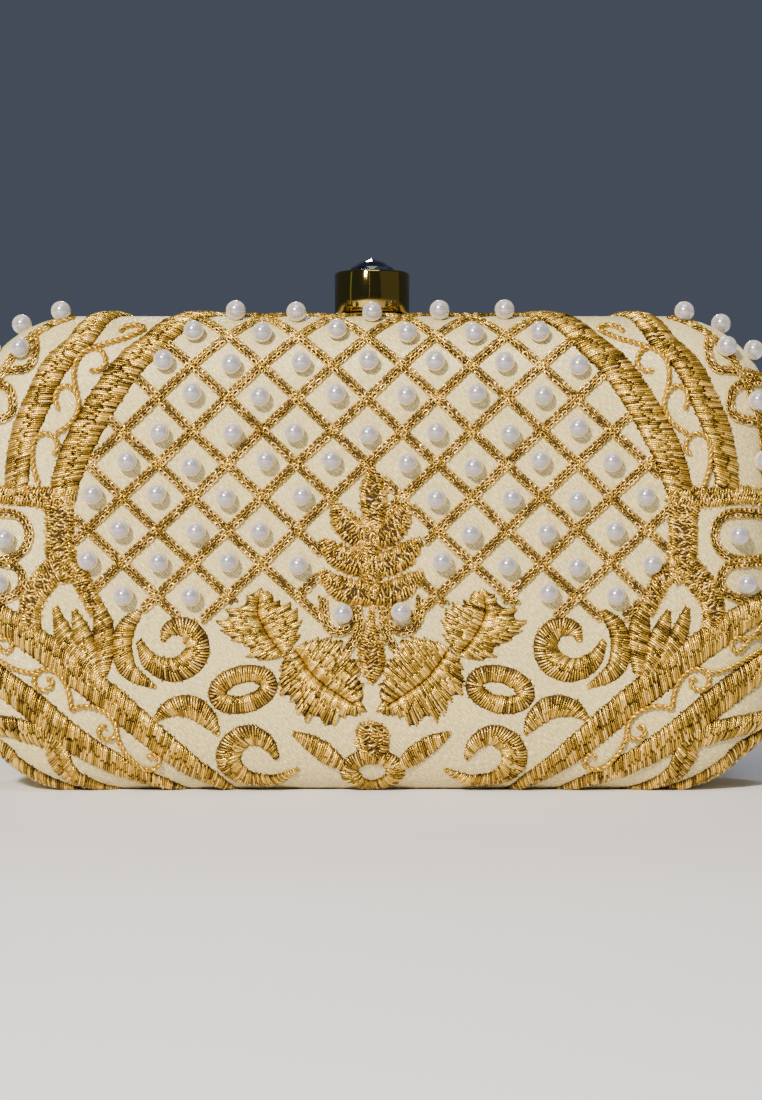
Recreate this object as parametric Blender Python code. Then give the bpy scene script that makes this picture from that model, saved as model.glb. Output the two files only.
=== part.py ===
"""Hard-shell evening bag: two domed halves hinged along the bottom, with a push-button knob on top.

X runs across the bag, the front faces -Y and Z is up. The origin is on the table, under the bag's middle.
Each half is a stack of cover, shell and lining held in a rim frame. The halves meet on the plane Y = 0.
"""

import math

import bmesh
import bpy
from mathutils import Matrix, Vector

MM = 0.001

# Body, measured over the covers
BODY_WIDTH = 182.0 * MM
BODY_HEIGHT = 107.0 * MM
CORNER_RADIUS = 24.5 * MM
TIGHTEST_CORNER = 1.0 * MM
ARC_STEPS = 7
BOTH_SIDES = (("left", -1), ("right", 1))

# Section of one half: depth from the parting plane, and inset from the outline
RIM_DEPTH = 4.3 * MM
RIM_INSET = 2.6 * MM
BULGE_DEPTH = 10.0 * MM
EDGE_DEPTH = 12.5 * MM
FACE_DEPTH = 27.0 * MM
FACE_INSET = 23.5 * MM
EDGE_POWER = 2.2
BULGE_STEPS = 3
EDGE_STEPS = 6

# Layers of one half
GAP = 0.3 * MM
COVER_THICKNESS = 1.0 * MM
SHELL_THICKNESS = 1.4 * MM
LINING_THICKNESS = 0.7 * MM
LINING_DEPTH = 6.8 * MM

# Rim frame: a Z section of band, web and lip
HALF_GAP = 0.15 * MM
BAND_INSET = 3.0 * MM
BAND_THICKNESS = 1.0 * MM
BAND_DEPTH = 4.0 * MM
WEB_THICKNESS = 0.6 * MM
LIP_INSET = 7.2 * MM
LIP_THICKNESS = 1.0 * MM
LIP_DEPTH = 6.5 * MM

# Bottom hinges
HINGE_X = 38.0 * MM
HINGE_Z = 1.45 * MM
HINGE_LENGTH = 20.0 * MM
KNUCKLE_LENGTH = 6.6 * MM
BARREL_RADIUS = 1.2 * MM
PIN_RADIUS = 0.5 * MM
LEAF_THICKNESS = 0.7 * MM
STRIP_INNER = 1.4 * MM
STRIP_OUTER = 3.7 * MM
SHY = 0.05 * MM  # keeps the faces of united solids from lying in one plane

# Knob and button, on one upright axis over the rear frame
KNOB_Y = 2.1 * MM
NECK_SIZE = (10.0 * MM, 5.5 * MM)
NECK_Y = 1.15 * MM
BASE_RADIUS = 8.4 * MM
BASE_BOTTOM = BODY_HEIGHT + 0.4 * MM
BASE_THICKNESS = 1.2 * MM
SLEEVE_RADIUS = 8.75 * MM
SLEEVE_BORE = 6.2 * MM
SLEEVE_TOP = 118.6 * MM
CAP_BOTTOM = 113.6 * MM
CAP_RADIUS = 5.9 * MM
CRYSTAL_RADIUS = 5.4 * MM
CRYSTAL_TOP = 122.0 * MM
CRYSTAL_SIDES = 16
PLUNGER_RADIUS = 0.8 * MM
PLUNGER_HOLE = 1.1 * MM
PLUNGER_BOTTOM = 89.4 * MM
SPRING_TURNS = 3
SPRING_RADIUS = 3.2 * MM
SPRING_WIRE = 0.3 * MM

# Lock under the top of the frame
CASE_WIDTH = 15.6 * MM
CASE_HEIGHT = 8.7 * MM
CASE_FRONT = 0.45 * MM
CASE_BACK = 7.2 * MM
CASE_WALL = 0.8 * MM
CASE_EAR = 4.2 * MM
BAR_SIZE = (12.0 * MM, 3.2 * MM, 1.6 * MM)
BAR_DROP = 3.3 * MM
CLIP_RADIUS = 2.2 * MM
CLIP_THICKNESS = 0.6 * MM
PRONG_INNER = 3.0 * MM
PRONG_OUTER = 5.2 * MM
FORK_WIDTH = 18.0 * MM
SCREW_X = 10.0 * MM
RIVET_X = 7.4 * MM
FASTENER_DEPTH = 5.0 * MM
FASTENER_RADIUS = 0.6 * MM
FASTENER_HOLE = 0.9 * MM
HEAD_RADIUS = 1.3 * MM
HEAD_THICKNESS = 0.5 * MM

# Inside the rear half
EYE_X = 58.0 * MM
EYE_RADIUS = 2.2 * MM
EYE_WIRE = 0.6 * MM
POCKET_WIDTH = 100.0 * MM
POCKET_BOTTOM = 20.0 * MM
POCKET_TOP = 62.0 * MM
POCKET_THICKNESS = 0.8 * MM

MIDDLE_Z = BODY_HEIGHT / 2
BAND_TOP = BODY_HEIGHT - BAND_INSET
LIP_UNDERSIDE = BODY_HEIGHT - LIP_INSET - LIP_THICKNESS
CASE_TOP = LIP_UNDERSIDE - GAP
BASE_TOP = BASE_BOTTOM + BASE_THICKNESS
BAR_TOP = CASE_TOP - BAR_DROP
SOLID_LAYERS = COVER_THICKNESS + SHELL_THICKNESS + LINING_THICKNESS + 2 * GAP


# ---------------------------------------------------------------- scene and materials


def clear_scene():
    for old in list(bpy.data.objects):
        bpy.data.objects.remove(old, do_unlink=True)


def make_material(name, colour, roughness, metallic=0.0, transmission=0.0):
    material = bpy.data.materials.new(name)
    material.use_nodes = True
    shader = material.node_tree.nodes["Principled BSDF"]
    shader.inputs["Base Color"].default_value = (*colour, 1.0)
    shader.inputs["Roughness"].default_value = roughness
    shader.inputs["Metallic"].default_value = metallic
    shader.inputs["Transmission Weight"].default_value = transmission
    return material


def make_materials():
    return {
        "front_satin": make_material("front_satin", (0.76, 0.66, 0.52), 0.45),
        "rear_satin": make_material("rear_satin", (0.76, 0.67, 0.54), 0.45),
        "shell_board": make_material("shell_board", (0.62, 0.58, 0.50), 0.8),
        "lining_cloth": make_material("lining_cloth", (0.70, 0.62, 0.50), 0.7),
        "frame_gold": make_material("frame_gold", (0.83, 0.65, 0.36), 0.2, 1.0),
        "knob_gold": make_material("knob_gold", (0.85, 0.76, 0.58), 0.08, 1.0),
        "lock_steel": make_material("lock_steel", (0.60, 0.60, 0.62), 0.3, 1.0),
        "crystal": make_material("crystal", (0.10, 0.16, 0.30), 0.02, 0.0, 0.8),
    }


# ---------------------------------------------------------------- making solids


def add_mesh(name, points, faces, material, smooth=True):
    """One object from points and faces, with its faces turned outwards."""
    build = bmesh.new()
    corners = [build.verts.new(point) for point in points]
    for face in faces:
        build.faces.new([corners[index] for index in face])
    bmesh.ops.recalc_face_normals(build, faces=build.faces)
    mesh = bpy.data.meshes.new(name)
    build.to_mesh(mesh)
    build.free()
    if smooth:
        mesh.shade_smooth()
        mesh.set_sharp_from_angle(angle=math.radians(35))
    piece = bpy.data.objects.new(name, mesh)
    bpy.context.collection.objects.link(piece)
    if material:
        mesh.materials.append(material)
    return piece


def add_box(name, low, high, material=None):
    spans = list(zip(low, high))
    points = [Vector((x, y, z)) for x in spans[0] for y in spans[1] for z in spans[2]]
    faces = [(0, 1, 3, 2), (4, 6, 7, 5), (0, 4, 5, 1), (2, 3, 7, 6), (0, 2, 6, 4), (1, 5, 7, 3)]
    return add_mesh(name, points, faces, material, smooth=False)


def add_turned(name, profile, centre_y, steps, material=None, closed=False):
    """A profile of (radius, height) turned about the upright line X = 0, Y = centre_y.

    A closed profile makes a ring. An open one is capped on the axis at both ends.
    """
    rings = [turned_ring(radius, centre_y, height, steps) for radius, height in profile]
    return add_rings(name, rings, material, closed)


def turned_ring(radius, centre_y, height, steps, start=0.0):
    """A level ring of points about the upright line X = 0, Y = centre_y, begun part of a step round."""
    angles = [math.tau * (k + start) / steps for k in range(steps)]
    return [Vector((radius * math.cos(a), centre_y + radius * math.sin(a), height)) for a in angles]


def add_cylinder(name, low, high, radius, steps=16, material=None):
    """A cylinder from one end point to the other."""
    low, high = Vector(low), Vector(high)
    turn = (high - low).to_track_quat("Z", "Y").to_matrix()
    angles = [math.tau * k / steps for k in range(steps)]
    ring = [turn @ Vector((radius * math.cos(a), radius * math.sin(a), 0)) for a in angles]
    return add_rings(name, [[low + p for p in ring], [high + p for p in ring]], material)


def add_rings(name, rings, material, closed=False):
    """Rings of equal count joined in order, and capped at both ends unless they close on themselves."""
    count = len(rings[0])
    points = [point for ring in rings for point in ring]
    faces = []
    spans = len(rings) if closed else len(rings) - 1
    for k in range(spans):
        here, there = k * count, (k + 1) % len(rings) * count
        for i in range(count):
            j = (i + 1) % count
            faces.append((here + i, here + j, there + j, there + i))
    if not closed:
        faces.append(tuple(range(count)))
        faces.append(tuple(range(len(points) - count, len(points))))
    return add_mesh(name, points, faces, material)


def add_extruded(name, outline, low_x, high_x, material=None):
    """A (Y, Z) outline drawn out along X."""
    rings = [[Vector((x, y, z)) for y, z in outline] for x in (low_x, high_x)]
    return add_rings(name, rings, material)


def use_tool(piece, tool, operation):
    """A Boolean on the piece with another object, which stays hidden as its tool."""
    step = piece.modifiers.new(operation.lower(), "BOOLEAN")
    step.operation = operation
    step.solver = "EXACT"
    step.object = tool
    tool.hide_render = True
    tool.display_type = "WIRE"


def cut(piece, tool):
    use_tool(piece, tool, "DIFFERENCE")


def unite(piece, tool):
    use_tool(piece, tool, "UNION")


# ---------------------------------------------------------------- the bag's outline and section


def outline(inset):
    """The rounded outline drawn in by an inset, as (X, Z) points anticlockwise from the right side."""
    radius = max(CORNER_RADIUS - inset, TIGHTEST_CORNER)
    middle_x = BODY_WIDTH / 2 - inset - radius
    middle_z = BODY_HEIGHT / 2 - inset - radius
    points = []
    for quarter, (side, up) in enumerate(((1, 1), (-1, 1), (-1, -1), (1, -1))):
        for step in range(ARC_STEPS + 1):
            angle = math.radians(90) * (quarter + step / ARC_STEPS)
            x = side * middle_x + radius * math.cos(angle)
            z = MIDDLE_Z + up * middle_z + radius * math.sin(angle)
            points.append((x, z))
    return points


def ring_at(inset, depth, side):
    """The outline at an inset and a depth, on the rear (side 1) or the front (side -1)."""
    return [Vector((x, side * depth, z)) for x, z in outline(inset)]


def bulge_point(depth, below):
    """A point of the rolled rim, at a distance below the cover's surface: (inset, depth)."""
    reach = (BULGE_DEPTH - depth) / (BULGE_DEPTH - RIM_DEPTH)
    inset = RIM_INSET * reach**2
    slope = 2 * RIM_INSET * reach / (BULGE_DEPTH - RIM_DEPTH)
    length = math.hypot(1, slope)
    return inset + below / length, depth + below * slope / length


def edge_point(angle, below):
    """A point of the rounded edge between side and face, at a distance below the surface."""
    across = max(math.cos(angle), 0) ** (2 / EDGE_POWER)
    along = math.sin(angle) ** (2 / EDGE_POWER)
    edge_reach = FACE_DEPTH - EDGE_DEPTH
    normal_inset = across ** (EDGE_POWER - 1) / FACE_INSET
    normal_depth = along ** (EDGE_POWER - 1) / edge_reach
    length = math.hypot(normal_inset, normal_depth)
    inset = FACE_INSET * (1 - across) + below * normal_inset / length
    depth = EDGE_DEPTH + edge_reach * along - below * normal_depth / length
    return inset, depth


def rim_start(below, start_depth):
    """The surface depth whose point, moved in by below, lies at start_depth on the rolled rim."""
    low, high = 2 * RIM_DEPTH - BULGE_DEPTH, BULGE_DEPTH
    for _ in range(40):
        middle = (low + high) / 2
        if bulge_point(middle, below)[1] < start_depth:
            low = middle
        else:
            high = middle
    return high


def section(below, start_depth):
    """The half's section at a distance below the surface, from start_depth to the face."""
    start = rim_start(below, start_depth)
    rise = (BULGE_DEPTH - start) / BULGE_STEPS
    rolled = [bulge_point(start + rise * k, below) for k in range(BULGE_STEPS + 1)]
    edge = [edge_point(math.radians(90) * k / EDGE_STEPS, below) for k in range(EDGE_STEPS + 1)]
    return rolled + edge


# ---------------------------------------------------------------- covers, shells, linings and frames


def make_layer(name, side, outside, thickness, start_depth, material):
    """One bowl-shaped layer, from its outer surface round the rim to its inner one."""
    outer = section(outside, start_depth)
    inner = section(outside + thickness, start_depth)
    path = outer[::-1] + inner
    return add_rings(name, [ring_at(inset, depth, side) for inset, depth in path], material)


def make_half_layers(half, side, materials):
    """Satin cover, moulded shell and lining, one inside the other."""
    layers = (
        ("cover", COVER_THICKNESS, RIM_DEPTH, half + "_satin"),
        ("shell", SHELL_THICKNESS, RIM_DEPTH, "shell_board"),
        ("lining", LINING_THICKNESS, LINING_DEPTH, "lining_cloth"),
    )
    outside = 0
    for word, thickness, start_depth, slot in layers:
        make_layer(f"{half}_{word}", side, outside, thickness, start_depth, materials[slot])
        outside += thickness + GAP


def make_frame(half, side, materials):
    """The rim frame: a band that shows in the groove, a web behind the rims and a lip inside the shell."""
    lip_inside = LIP_INSET + LIP_THICKNESS
    band_inside = BAND_INSET + BAND_THICKNESS
    web_depth = BAND_DEPTH - WEB_THICKNESS
    profile = [
        (BAND_INSET, HALF_GAP),
        (BAND_INSET, BAND_DEPTH),
        (LIP_INSET, BAND_DEPTH),
        (LIP_INSET, LIP_DEPTH),
        (lip_inside, LIP_DEPTH),
        (lip_inside, web_depth),
        (band_inside, web_depth),
        (band_inside, HALF_GAP),
    ]
    rings = [ring_at(inset, depth, side) for inset, depth in profile]
    return add_rings(half + "_frame", rings, materials["frame_gold"], closed=True)


def make_pocket(materials):
    back = FACE_DEPTH - SOLID_LAYERS - GAP
    low = (-POCKET_WIDTH / 2, back - POCKET_THICKNESS, POCKET_BOTTOM)
    high = (POCKET_WIDTH / 2, back, POCKET_TOP)
    pocket = add_box("rear_pocket", low, high, materials["lining_cloth"])
    bevel = pocket.modifiers.new("soft_edges", "BEVEL")
    bevel.width = POCKET_THICKNESS / 4
    bevel.segments = 1


# ---------------------------------------------------------------- hinges


def add_knuckle(leaf, centre_x, length, side):
    """Joins one barrel and the web that holds it to a hinge leaf."""
    low_x, high_x = centre_x - length / 2, centre_x + length / 2
    barrel = add_cylinder("knuckle_tool", (low_x, 0, HINGE_Z), (high_x, 0, HINGE_Z), BARREL_RADIUS, 20)
    web_top = BAND_INSET - GAP - SHY
    web_bottom = BAND_INSET - GAP - LEAF_THICKNESS + SHY
    near, far = sorted((side * GAP, side * (STRIP_INNER + STRIP_OUTER) / 2))
    web = add_box("web_tool", (low_x, near, web_bottom), (high_x, far, web_top))
    unite(leaf, barrel)
    unite(leaf, web)


def make_leaf(name, centre_x, side, knuckles, materials):
    """A hinge leaf: a strip under the frame with its knuckles, bored for the pin."""
    top = BAND_INSET - GAP
    near, far = sorted((side * STRIP_INNER, side * STRIP_OUTER))
    low = (centre_x - HINGE_LENGTH / 2, near, top - LEAF_THICKNESS)
    high = (centre_x + HINGE_LENGTH / 2, far, top)
    leaf = add_box(name, low, high, materials["frame_gold"])
    for offset, length in knuckles:
        add_knuckle(leaf, centre_x + offset, length, side)
    reach = HINGE_LENGTH / 2 + 1 * MM
    ends = [(centre_x + way * reach, 0, HINGE_Z) for way in (-1, 1)]
    cut(leaf, add_cylinder("bore_tool", *ends, PIN_RADIUS + GAP, 16))


def make_hinges(materials):
    outer_length = (HINGE_LENGTH - KNUCKLE_LENGTH) / 2 - GAP - 2 * SHY
    outer_offset = (HINGE_LENGTH - outer_length) / 2 - 2 * SHY
    for word, way in BOTH_SIDES:
        x = way * HINGE_X
        pair = [(-outer_offset, outer_length), (outer_offset, outer_length)]
        make_leaf("hinge_leaf_rear_" + word, x, 1, pair, materials)
        make_leaf("hinge_leaf_front_" + word, x, -1, [(0, KNUCKLE_LENGTH)], materials)
        ends = [(x + side * HINGE_LENGTH / 2, 0, HINGE_Z) for side in (-1, 1)]
        add_cylinder("hinge_pin_" + word, *ends, PIN_RADIUS, 12, materials["lock_steel"])


# ---------------------------------------------------------------- knob and button


def make_knob_base(rear_frame, materials):
    """The saddle on the rear frame: a neck in the groove and the disc under the sleeve."""
    width, depth = NECK_SIZE
    low = (-width / 2, NECK_Y - depth / 2, BAND_TOP + GAP)
    high = (width / 2, NECK_Y + depth / 2, BASE_BOTTOM + BASE_THICKNESS / 2)
    rim = [(BASE_RADIUS, BASE_BOTTOM), (BASE_RADIUS, BASE_TOP)]
    base = add_turned("knob_base", rim, KNOB_Y, 32, materials["frame_gold"])
    unite(base, add_box("neck_tool", low, high))
    bore = [(PLUNGER_HOLE, BAND_TOP - 2 * BAND_THICKNESS), (PLUNGER_HOLE, BASE_TOP + BAND_THICKNESS)]
    drill = add_turned("plunger_bore_tool", bore, KNOB_Y, 16)
    cut(base, drill)
    cut(rear_frame, drill)


def make_knob_sleeve(materials):
    bottom = BASE_TOP + GAP
    profile = [
        (SLEEVE_BORE, bottom),
        (SLEEVE_RADIUS - 0.3 * MM, bottom),
        (SLEEVE_RADIUS, bottom + 0.3 * MM),
        (SLEEVE_RADIUS, SLEEVE_TOP - 0.9 * MM),
        (SLEEVE_RADIUS - 0.35 * MM, SLEEVE_TOP - 0.25 * MM),
        (SLEEVE_RADIUS - 0.9 * MM, SLEEVE_TOP),
        (SLEEVE_BORE + 0.5 * MM, SLEEVE_TOP),
        (SLEEVE_BORE, SLEEVE_TOP - 0.5 * MM),
    ]
    add_turned("knob_sleeve", profile, KNOB_Y, 36, materials["knob_gold"], closed=True)


def make_button_cap(materials):
    """The bezel cup: a thin rim that rises round the crystal."""
    seat = CRYSTAL_RADIUS + GAP
    profile = [
        (CAP_RADIUS - 0.4 * MM, CAP_BOTTOM),
        (CAP_RADIUS, CAP_BOTTOM + 0.4 * MM),
        (CAP_RADIUS, SLEEVE_TOP),
        (seat, SLEEVE_TOP + 0.2 * MM),
        (seat, CAP_BOTTOM + 3.4 * MM),
        (seat - 1.4 * MM, CAP_BOTTOM + 1.6 * MM),
    ]
    add_turned("button_cap", profile, KNOB_Y, 32, materials["knob_gold"])


def make_crystal(materials):
    """A stone cut to a low point, with kite facets made by turning each ring half a step."""
    girdle = SLEEVE_TOP + 0.1 * MM
    levels = [
        (CRYSTAL_RADIUS - 1.6 * MM, CAP_BOTTOM + 2.3 * MM, 0),
        (CRYSTAL_RADIUS, girdle - 0.8 * MM, 0),
        (CRYSTAL_RADIUS, girdle, 0),
        (CRYSTAL_RADIUS - 1.5 * MM, girdle + 1.6 * MM, 0.5),
        (CRYSTAL_RADIUS - 3.6 * MM, CRYSTAL_TOP - 0.4 * MM, 1),
        (0.7 * MM, CRYSTAL_TOP, 1.5),
    ]
    rings = [
        turned_ring(radius, KNOB_Y, height, CRYSTAL_SIDES, start) for radius, height, start in levels
    ]
    crystal = add_rings("crystal", rings, materials["crystal"])
    crystal.data.shade_flat()


def make_plunger(materials):
    """The rod, the cross bar that holds the catch, and the clip that stops the rod's rise."""
    ends = [(0, KNOB_Y, PLUNGER_BOTTOM), (0, KNOB_Y, CAP_BOTTOM - GAP)]
    add_cylinder("plunger", *ends, PLUNGER_RADIUS, 16, materials["lock_steel"])
    drill_ends = [(0, KNOB_Y, PLUNGER_BOTTOM), (0, KNOB_Y, CASE_TOP)]
    drill = add_cylinder("rod_hole_tool", *drill_ends, PLUNGER_HOLE, 16)
    width, depth, height = BAR_SIZE
    low = (-width / 2, KNOB_Y - depth / 2, BAR_TOP - height)
    bar = add_box("latch_bar", low, (width / 2, KNOB_Y + depth / 2, BAR_TOP), materials["lock_steel"])
    cut(bar, drill)
    clip_top = CASE_TOP - CASE_WALL - GAP
    clip_ends = [(0, KNOB_Y, clip_top - CLIP_THICKNESS), (0, KNOB_Y, clip_top)]
    clip = add_cylinder("plunger_clip", *clip_ends, CLIP_RADIUS, 20, materials["lock_steel"])
    cut(clip, drill)


def make_spring(materials):
    """A coil between the knob's base and the button cap."""
    low = BASE_TOP + GAP + SPRING_WIRE
    high = CAP_BOTTOM - GAP - SPRING_WIRE
    steps = SPRING_TURNS * 16
    wire_steps = 6
    rings = []
    for k in range(steps + 1):
        turn = math.tau * k / 16
        centre_z = low + (high - low) * k / steps
        ring = []
        for w in range(wire_steps):
            around = math.tau * w / wire_steps
            radius = SPRING_RADIUS + SPRING_WIRE * math.cos(around)
            height = centre_z + SPRING_WIRE * math.sin(around)
            ring.append(Vector((radius * math.cos(turn), KNOB_Y + radius * math.sin(turn), height)))
        rings.append(ring)
    add_rings("button_spring", rings, materials["lock_steel"])


# ---------------------------------------------------------------- lock and catch


def make_lock_case(rear_frame, materials):
    """A box open to the front, hung from the rear lip by two ears."""
    bottom = CASE_TOP - CASE_HEIGHT
    half = CASE_WIDTH / 2
    low, high = (-half, CASE_FRONT, bottom), (half, CASE_BACK, CASE_TOP)
    case = add_box("lock_case", low, high, materials["lock_steel"])
    ear = half + CASE_EAR
    plate_low = (-ear, CASE_FRONT + CASE_WALL, CASE_TOP - CASE_WALL)
    plate_high = (ear, CASE_BACK - CASE_WALL, CASE_TOP - SHY)
    unite(case, add_box("ear_tool", plate_low, plate_high))
    hollow_low = (-half + CASE_WALL, CASE_FRONT - CASE_WALL, bottom + CASE_WALL)
    hollow_high = (half - CASE_WALL, CASE_BACK - CASE_WALL, CASE_TOP - CASE_WALL)
    cut(case, add_box("case_hollow_tool", hollow_low, hollow_high))
    rod = [(0, KNOB_Y, bottom - CASE_WALL), (0, KNOB_Y, CASE_TOP + CASE_WALL)]
    cut(case, add_cylinder("case_bore_tool", *rod, PLUNGER_HOLE, 16))
    steel = materials["lock_steel"]
    for word, way in BOTH_SIDES:
        drill = make_fastener("lock_screw_" + word, way * SCREW_X, FASTENER_DEPTH, steel)
        cut(case, drill)
        cut(rear_frame, drill)


def make_fastener(name, x, y, material):
    """A screw or rivet with its head under the plate and its shank up in the lip. Returns its drill."""
    head_top = CASE_TOP - CASE_WALL - GAP - 0.2 * MM
    tip = LIP_UNDERSIDE + LIP_THICKNESS - GAP
    profile = [
        (HEAD_RADIUS * 0.7, head_top - HEAD_THICKNESS),
        (HEAD_RADIUS, head_top - HEAD_THICKNESS / 2),
        (HEAD_RADIUS, head_top),
        (FASTENER_RADIUS, head_top),
        (FASTENER_RADIUS, tip),
    ]
    fastener = add_turned(name, profile, 0, 12, material)
    fastener.location = (x, y, 0)
    low, high = LIP_UNDERSIDE - 3 * MM, LIP_UNDERSIDE + 2 * MM
    return add_cylinder("fastener_hole_tool", (x, y, low), (x, y, high), FASTENER_HOLE, 12)


def make_catch(front_frame, materials):
    """The fork: a plate under the front lip and two prongs with noses behind the latch bar."""
    top = CASE_TOP
    plate_back = -(BAND_DEPTH - WEB_THICKNESS)
    plate_front = -LIP_DEPTH + 0.2 * MM
    low = (-FORK_WIDTH / 2, plate_front, top - CASE_WALL)
    fork = add_box("catch_fork", low, (FORK_WIDTH / 2, plate_back, top), materials["lock_steel"])
    prong_low = BAR_TOP + GAP
    prong_high = prong_low + 1.0 * MM
    nose_front = KNOB_Y + BAR_SIZE[1] / 2 + GAP
    nose_back = nose_front + 1.2 * MM
    hook = [
        (plate_front + 0.3 * MM, top - 0.2 * MM),
        (plate_front + 0.3 * MM, top - CASE_WALL - 0.2 * MM),
        (plate_front + 1.6 * MM, prong_low),
        (nose_front, prong_low),
        (nose_front, BAR_TOP - 0.8 * MM),
        (nose_back, BAR_TOP),
        (nose_back, prong_high),
        (plate_back - 0.2 * MM, prong_high),
        (plate_back - 0.2 * MM, top - 0.2 * MM),
    ]
    for _, way in BOTH_SIDES:
        near, far = sorted((way * PRONG_INNER, way * PRONG_OUTER))
        unite(fork, add_extruded("prong_tool", hook, near, far))
    gold = materials["frame_gold"]
    for word, way in BOTH_SIDES:
        drill = make_fastener("catch_rivet_" + word, way * RIVET_X, -FASTENER_DEPTH, gold)
        cut(fork, drill)
        cut(front_frame, drill)


def make_chain_eyes(materials):
    """A loop on a small foot under the rear lip, near each top corner."""
    foot_top = LIP_UNDERSIDE - GAP
    for word, way in BOTH_SIDES:
        x = way * EYE_X
        low = (x - 2.5 * MM, BAND_DEPTH - WEB_THICKNESS + 0.2 * MM, foot_top - 0.8 * MM)
        high = (x + 2.5 * MM, LIP_DEPTH - 0.2 * MM, foot_top)
        eye = add_box("chain_eye_" + word, low, high, materials["frame_gold"])
        centre = Vector((x, FASTENER_DEPTH, foot_top - EYE_RADIUS - EYE_WIRE))
        unite(eye, add_loop("eye_tool", centre))


def add_loop(name, centre):
    """A wire ring that stands in the plane of the bag."""
    rings = []
    for k in range(20):
        turn = Matrix.Rotation(math.tau * k / 20, 3, "Y")
        ring = []
        for w in range(8):
            around = math.tau * w / 8
            spot = Vector((EYE_RADIUS + EYE_WIRE * math.cos(around), EYE_WIRE * math.sin(around), 0))
            ring.append(centre + turn @ spot)
        rings.append(ring)
    return add_rings(name, rings, None, closed=True)


# ---------------------------------------------------------------- the whole bag


def main():
    clear_scene()
    materials = make_materials()
    frames = {}
    for half, side in (("rear", 1), ("front", -1)):
        make_half_layers(half, side, materials)
        frames[half] = make_frame(half, side, materials)
    make_pocket(materials)
    make_hinges(materials)
    make_knob_base(frames["rear"], materials)
    make_knob_sleeve(materials)
    make_button_cap(materials)
    make_crystal(materials)
    make_plunger(materials)
    make_spring(materials)
    make_lock_case(frames["rear"], materials)
    make_catch(frames["front"], materials)
    make_chain_eyes(materials)


main()
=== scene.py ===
"""Evening bag: the looks of a hard-shell clutch with a pearl and gold-thread front.

Everything is in metres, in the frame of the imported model: X across, the front faces -Y, Z up.
The embroidery is drawn in millimetres on the front and carried onto the cloth of the rounded cover.
"""

import math
import random

import bpy
import numpy as np
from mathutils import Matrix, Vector, kdtree


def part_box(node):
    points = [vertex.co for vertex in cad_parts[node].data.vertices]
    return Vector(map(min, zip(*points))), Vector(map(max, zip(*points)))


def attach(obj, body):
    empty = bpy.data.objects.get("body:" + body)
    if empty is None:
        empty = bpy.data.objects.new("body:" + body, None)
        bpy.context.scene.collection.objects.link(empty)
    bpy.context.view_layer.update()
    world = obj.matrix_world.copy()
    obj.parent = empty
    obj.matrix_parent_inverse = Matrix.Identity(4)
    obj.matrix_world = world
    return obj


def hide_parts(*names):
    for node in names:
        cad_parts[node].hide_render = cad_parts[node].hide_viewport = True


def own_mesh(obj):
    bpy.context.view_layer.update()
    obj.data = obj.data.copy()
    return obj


bl_info = {
    "name": "Evening bag",
    "version": (1, 0, 0),
    "blender": (4, 5, 0),
    "location": "View3D > Sidebar > Evening bag",
    "description": "Makes the covers, embroidery, pearls, frame and knob of an evening bag",
    "category": "Object",
}

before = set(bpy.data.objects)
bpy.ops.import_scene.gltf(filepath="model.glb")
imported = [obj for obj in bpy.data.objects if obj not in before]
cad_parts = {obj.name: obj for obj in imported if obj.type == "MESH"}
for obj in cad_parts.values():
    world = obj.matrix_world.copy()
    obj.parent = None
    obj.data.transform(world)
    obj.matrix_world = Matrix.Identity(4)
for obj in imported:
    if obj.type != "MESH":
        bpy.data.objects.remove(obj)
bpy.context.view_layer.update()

MM = 0.001
cover_low, cover_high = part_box("front_cover")

# The cover's outline and section, as its solid has them
HALF_WIDTH = (cover_high[0] - cover_low[0]) / 2
HALF_HEIGHT = (cover_high[2] - cover_low[2]) / 2
MIDDLE_Z = (cover_high[2] + cover_low[2]) / 2
FACE_DEPTH = -cover_low[1]
CORNER_RADIUS = 24.5 * MM
TIGHTEST_CORNER = 1.0 * MM
FACE_INSET = CORNER_RADIUS - TIGHTEST_CORNER
EDGE_DEPTH = 12.5 * MM
BULGE_DEPTH = 10.0 * MM
RIM_DEPTH = 4.3 * MM
RIM_INSET = 2.6 * MM
EDGE_POWER = 2.2
CORE_X = HALF_WIDTH - CORNER_RADIUS
CORE_Z = HALF_HEIGHT - CORNER_RADIUS
CROWN = 0.5 * MM
PRESSED = 0.3 * MM  # the embroidery is pressed flat where the bag stands on it
COVER_THICKNESS = 1.0 * MM
LINING_BELOW = 3.0 * MM
LINING_THICKNESS = 0.7 * MM
LINING_DEPTH = 6.8 * MM

# The eye that the drawing was made for, in front of the bag
EYE_DISTANCE = 538.0 * MM
EYE_HEIGHT = 54.0 * MM

FRONT, REAR = -1, 1
HALVES = (("front", FRONT), ("rear", REAR))
BOTH_SIDES = (1, -1)

# Stitches
STITCH_SHARES = np.array([0.0, 0.16, 0.5, 0.84, 1.0])
STITCH_ARCH = 0.3 * MM * (1 - (2 * STITCH_SHARES - 1) ** 4)
HOLE_DEPTH = 0.14 * MM  # how deep a stitch goes at its ends
PAD_FULLNESS = 0.28  # the padding's height for its width, where the shape is narrow
PAD_UNDERSIDE = -0.25 * MM
LONGEST_STITCH = 2.9 * MM
EDGE_STITCH = 1.5 * MM
LEAF_TOOTH = 1.5 * MM
TOOTH_STEP = 2.9 * MM
CORD_TWIST = 2.6 * MM  # length of one full turn of a cord's strand
CHAIN_STEP = 0.7 * MM  # between the points of a chain line before its links are laid
CHAIN_APART = 0.6 * MM  # from the middle of a chain line to the middle of each of its rows
LINK_TILT = ((-0.3, -0.34, -0.16), (0.3, -0.1, 0.16))
STITCH_TILT = ((-0.2, -0.25, -0.75), (0.2, 0.25, 0.75))

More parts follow.
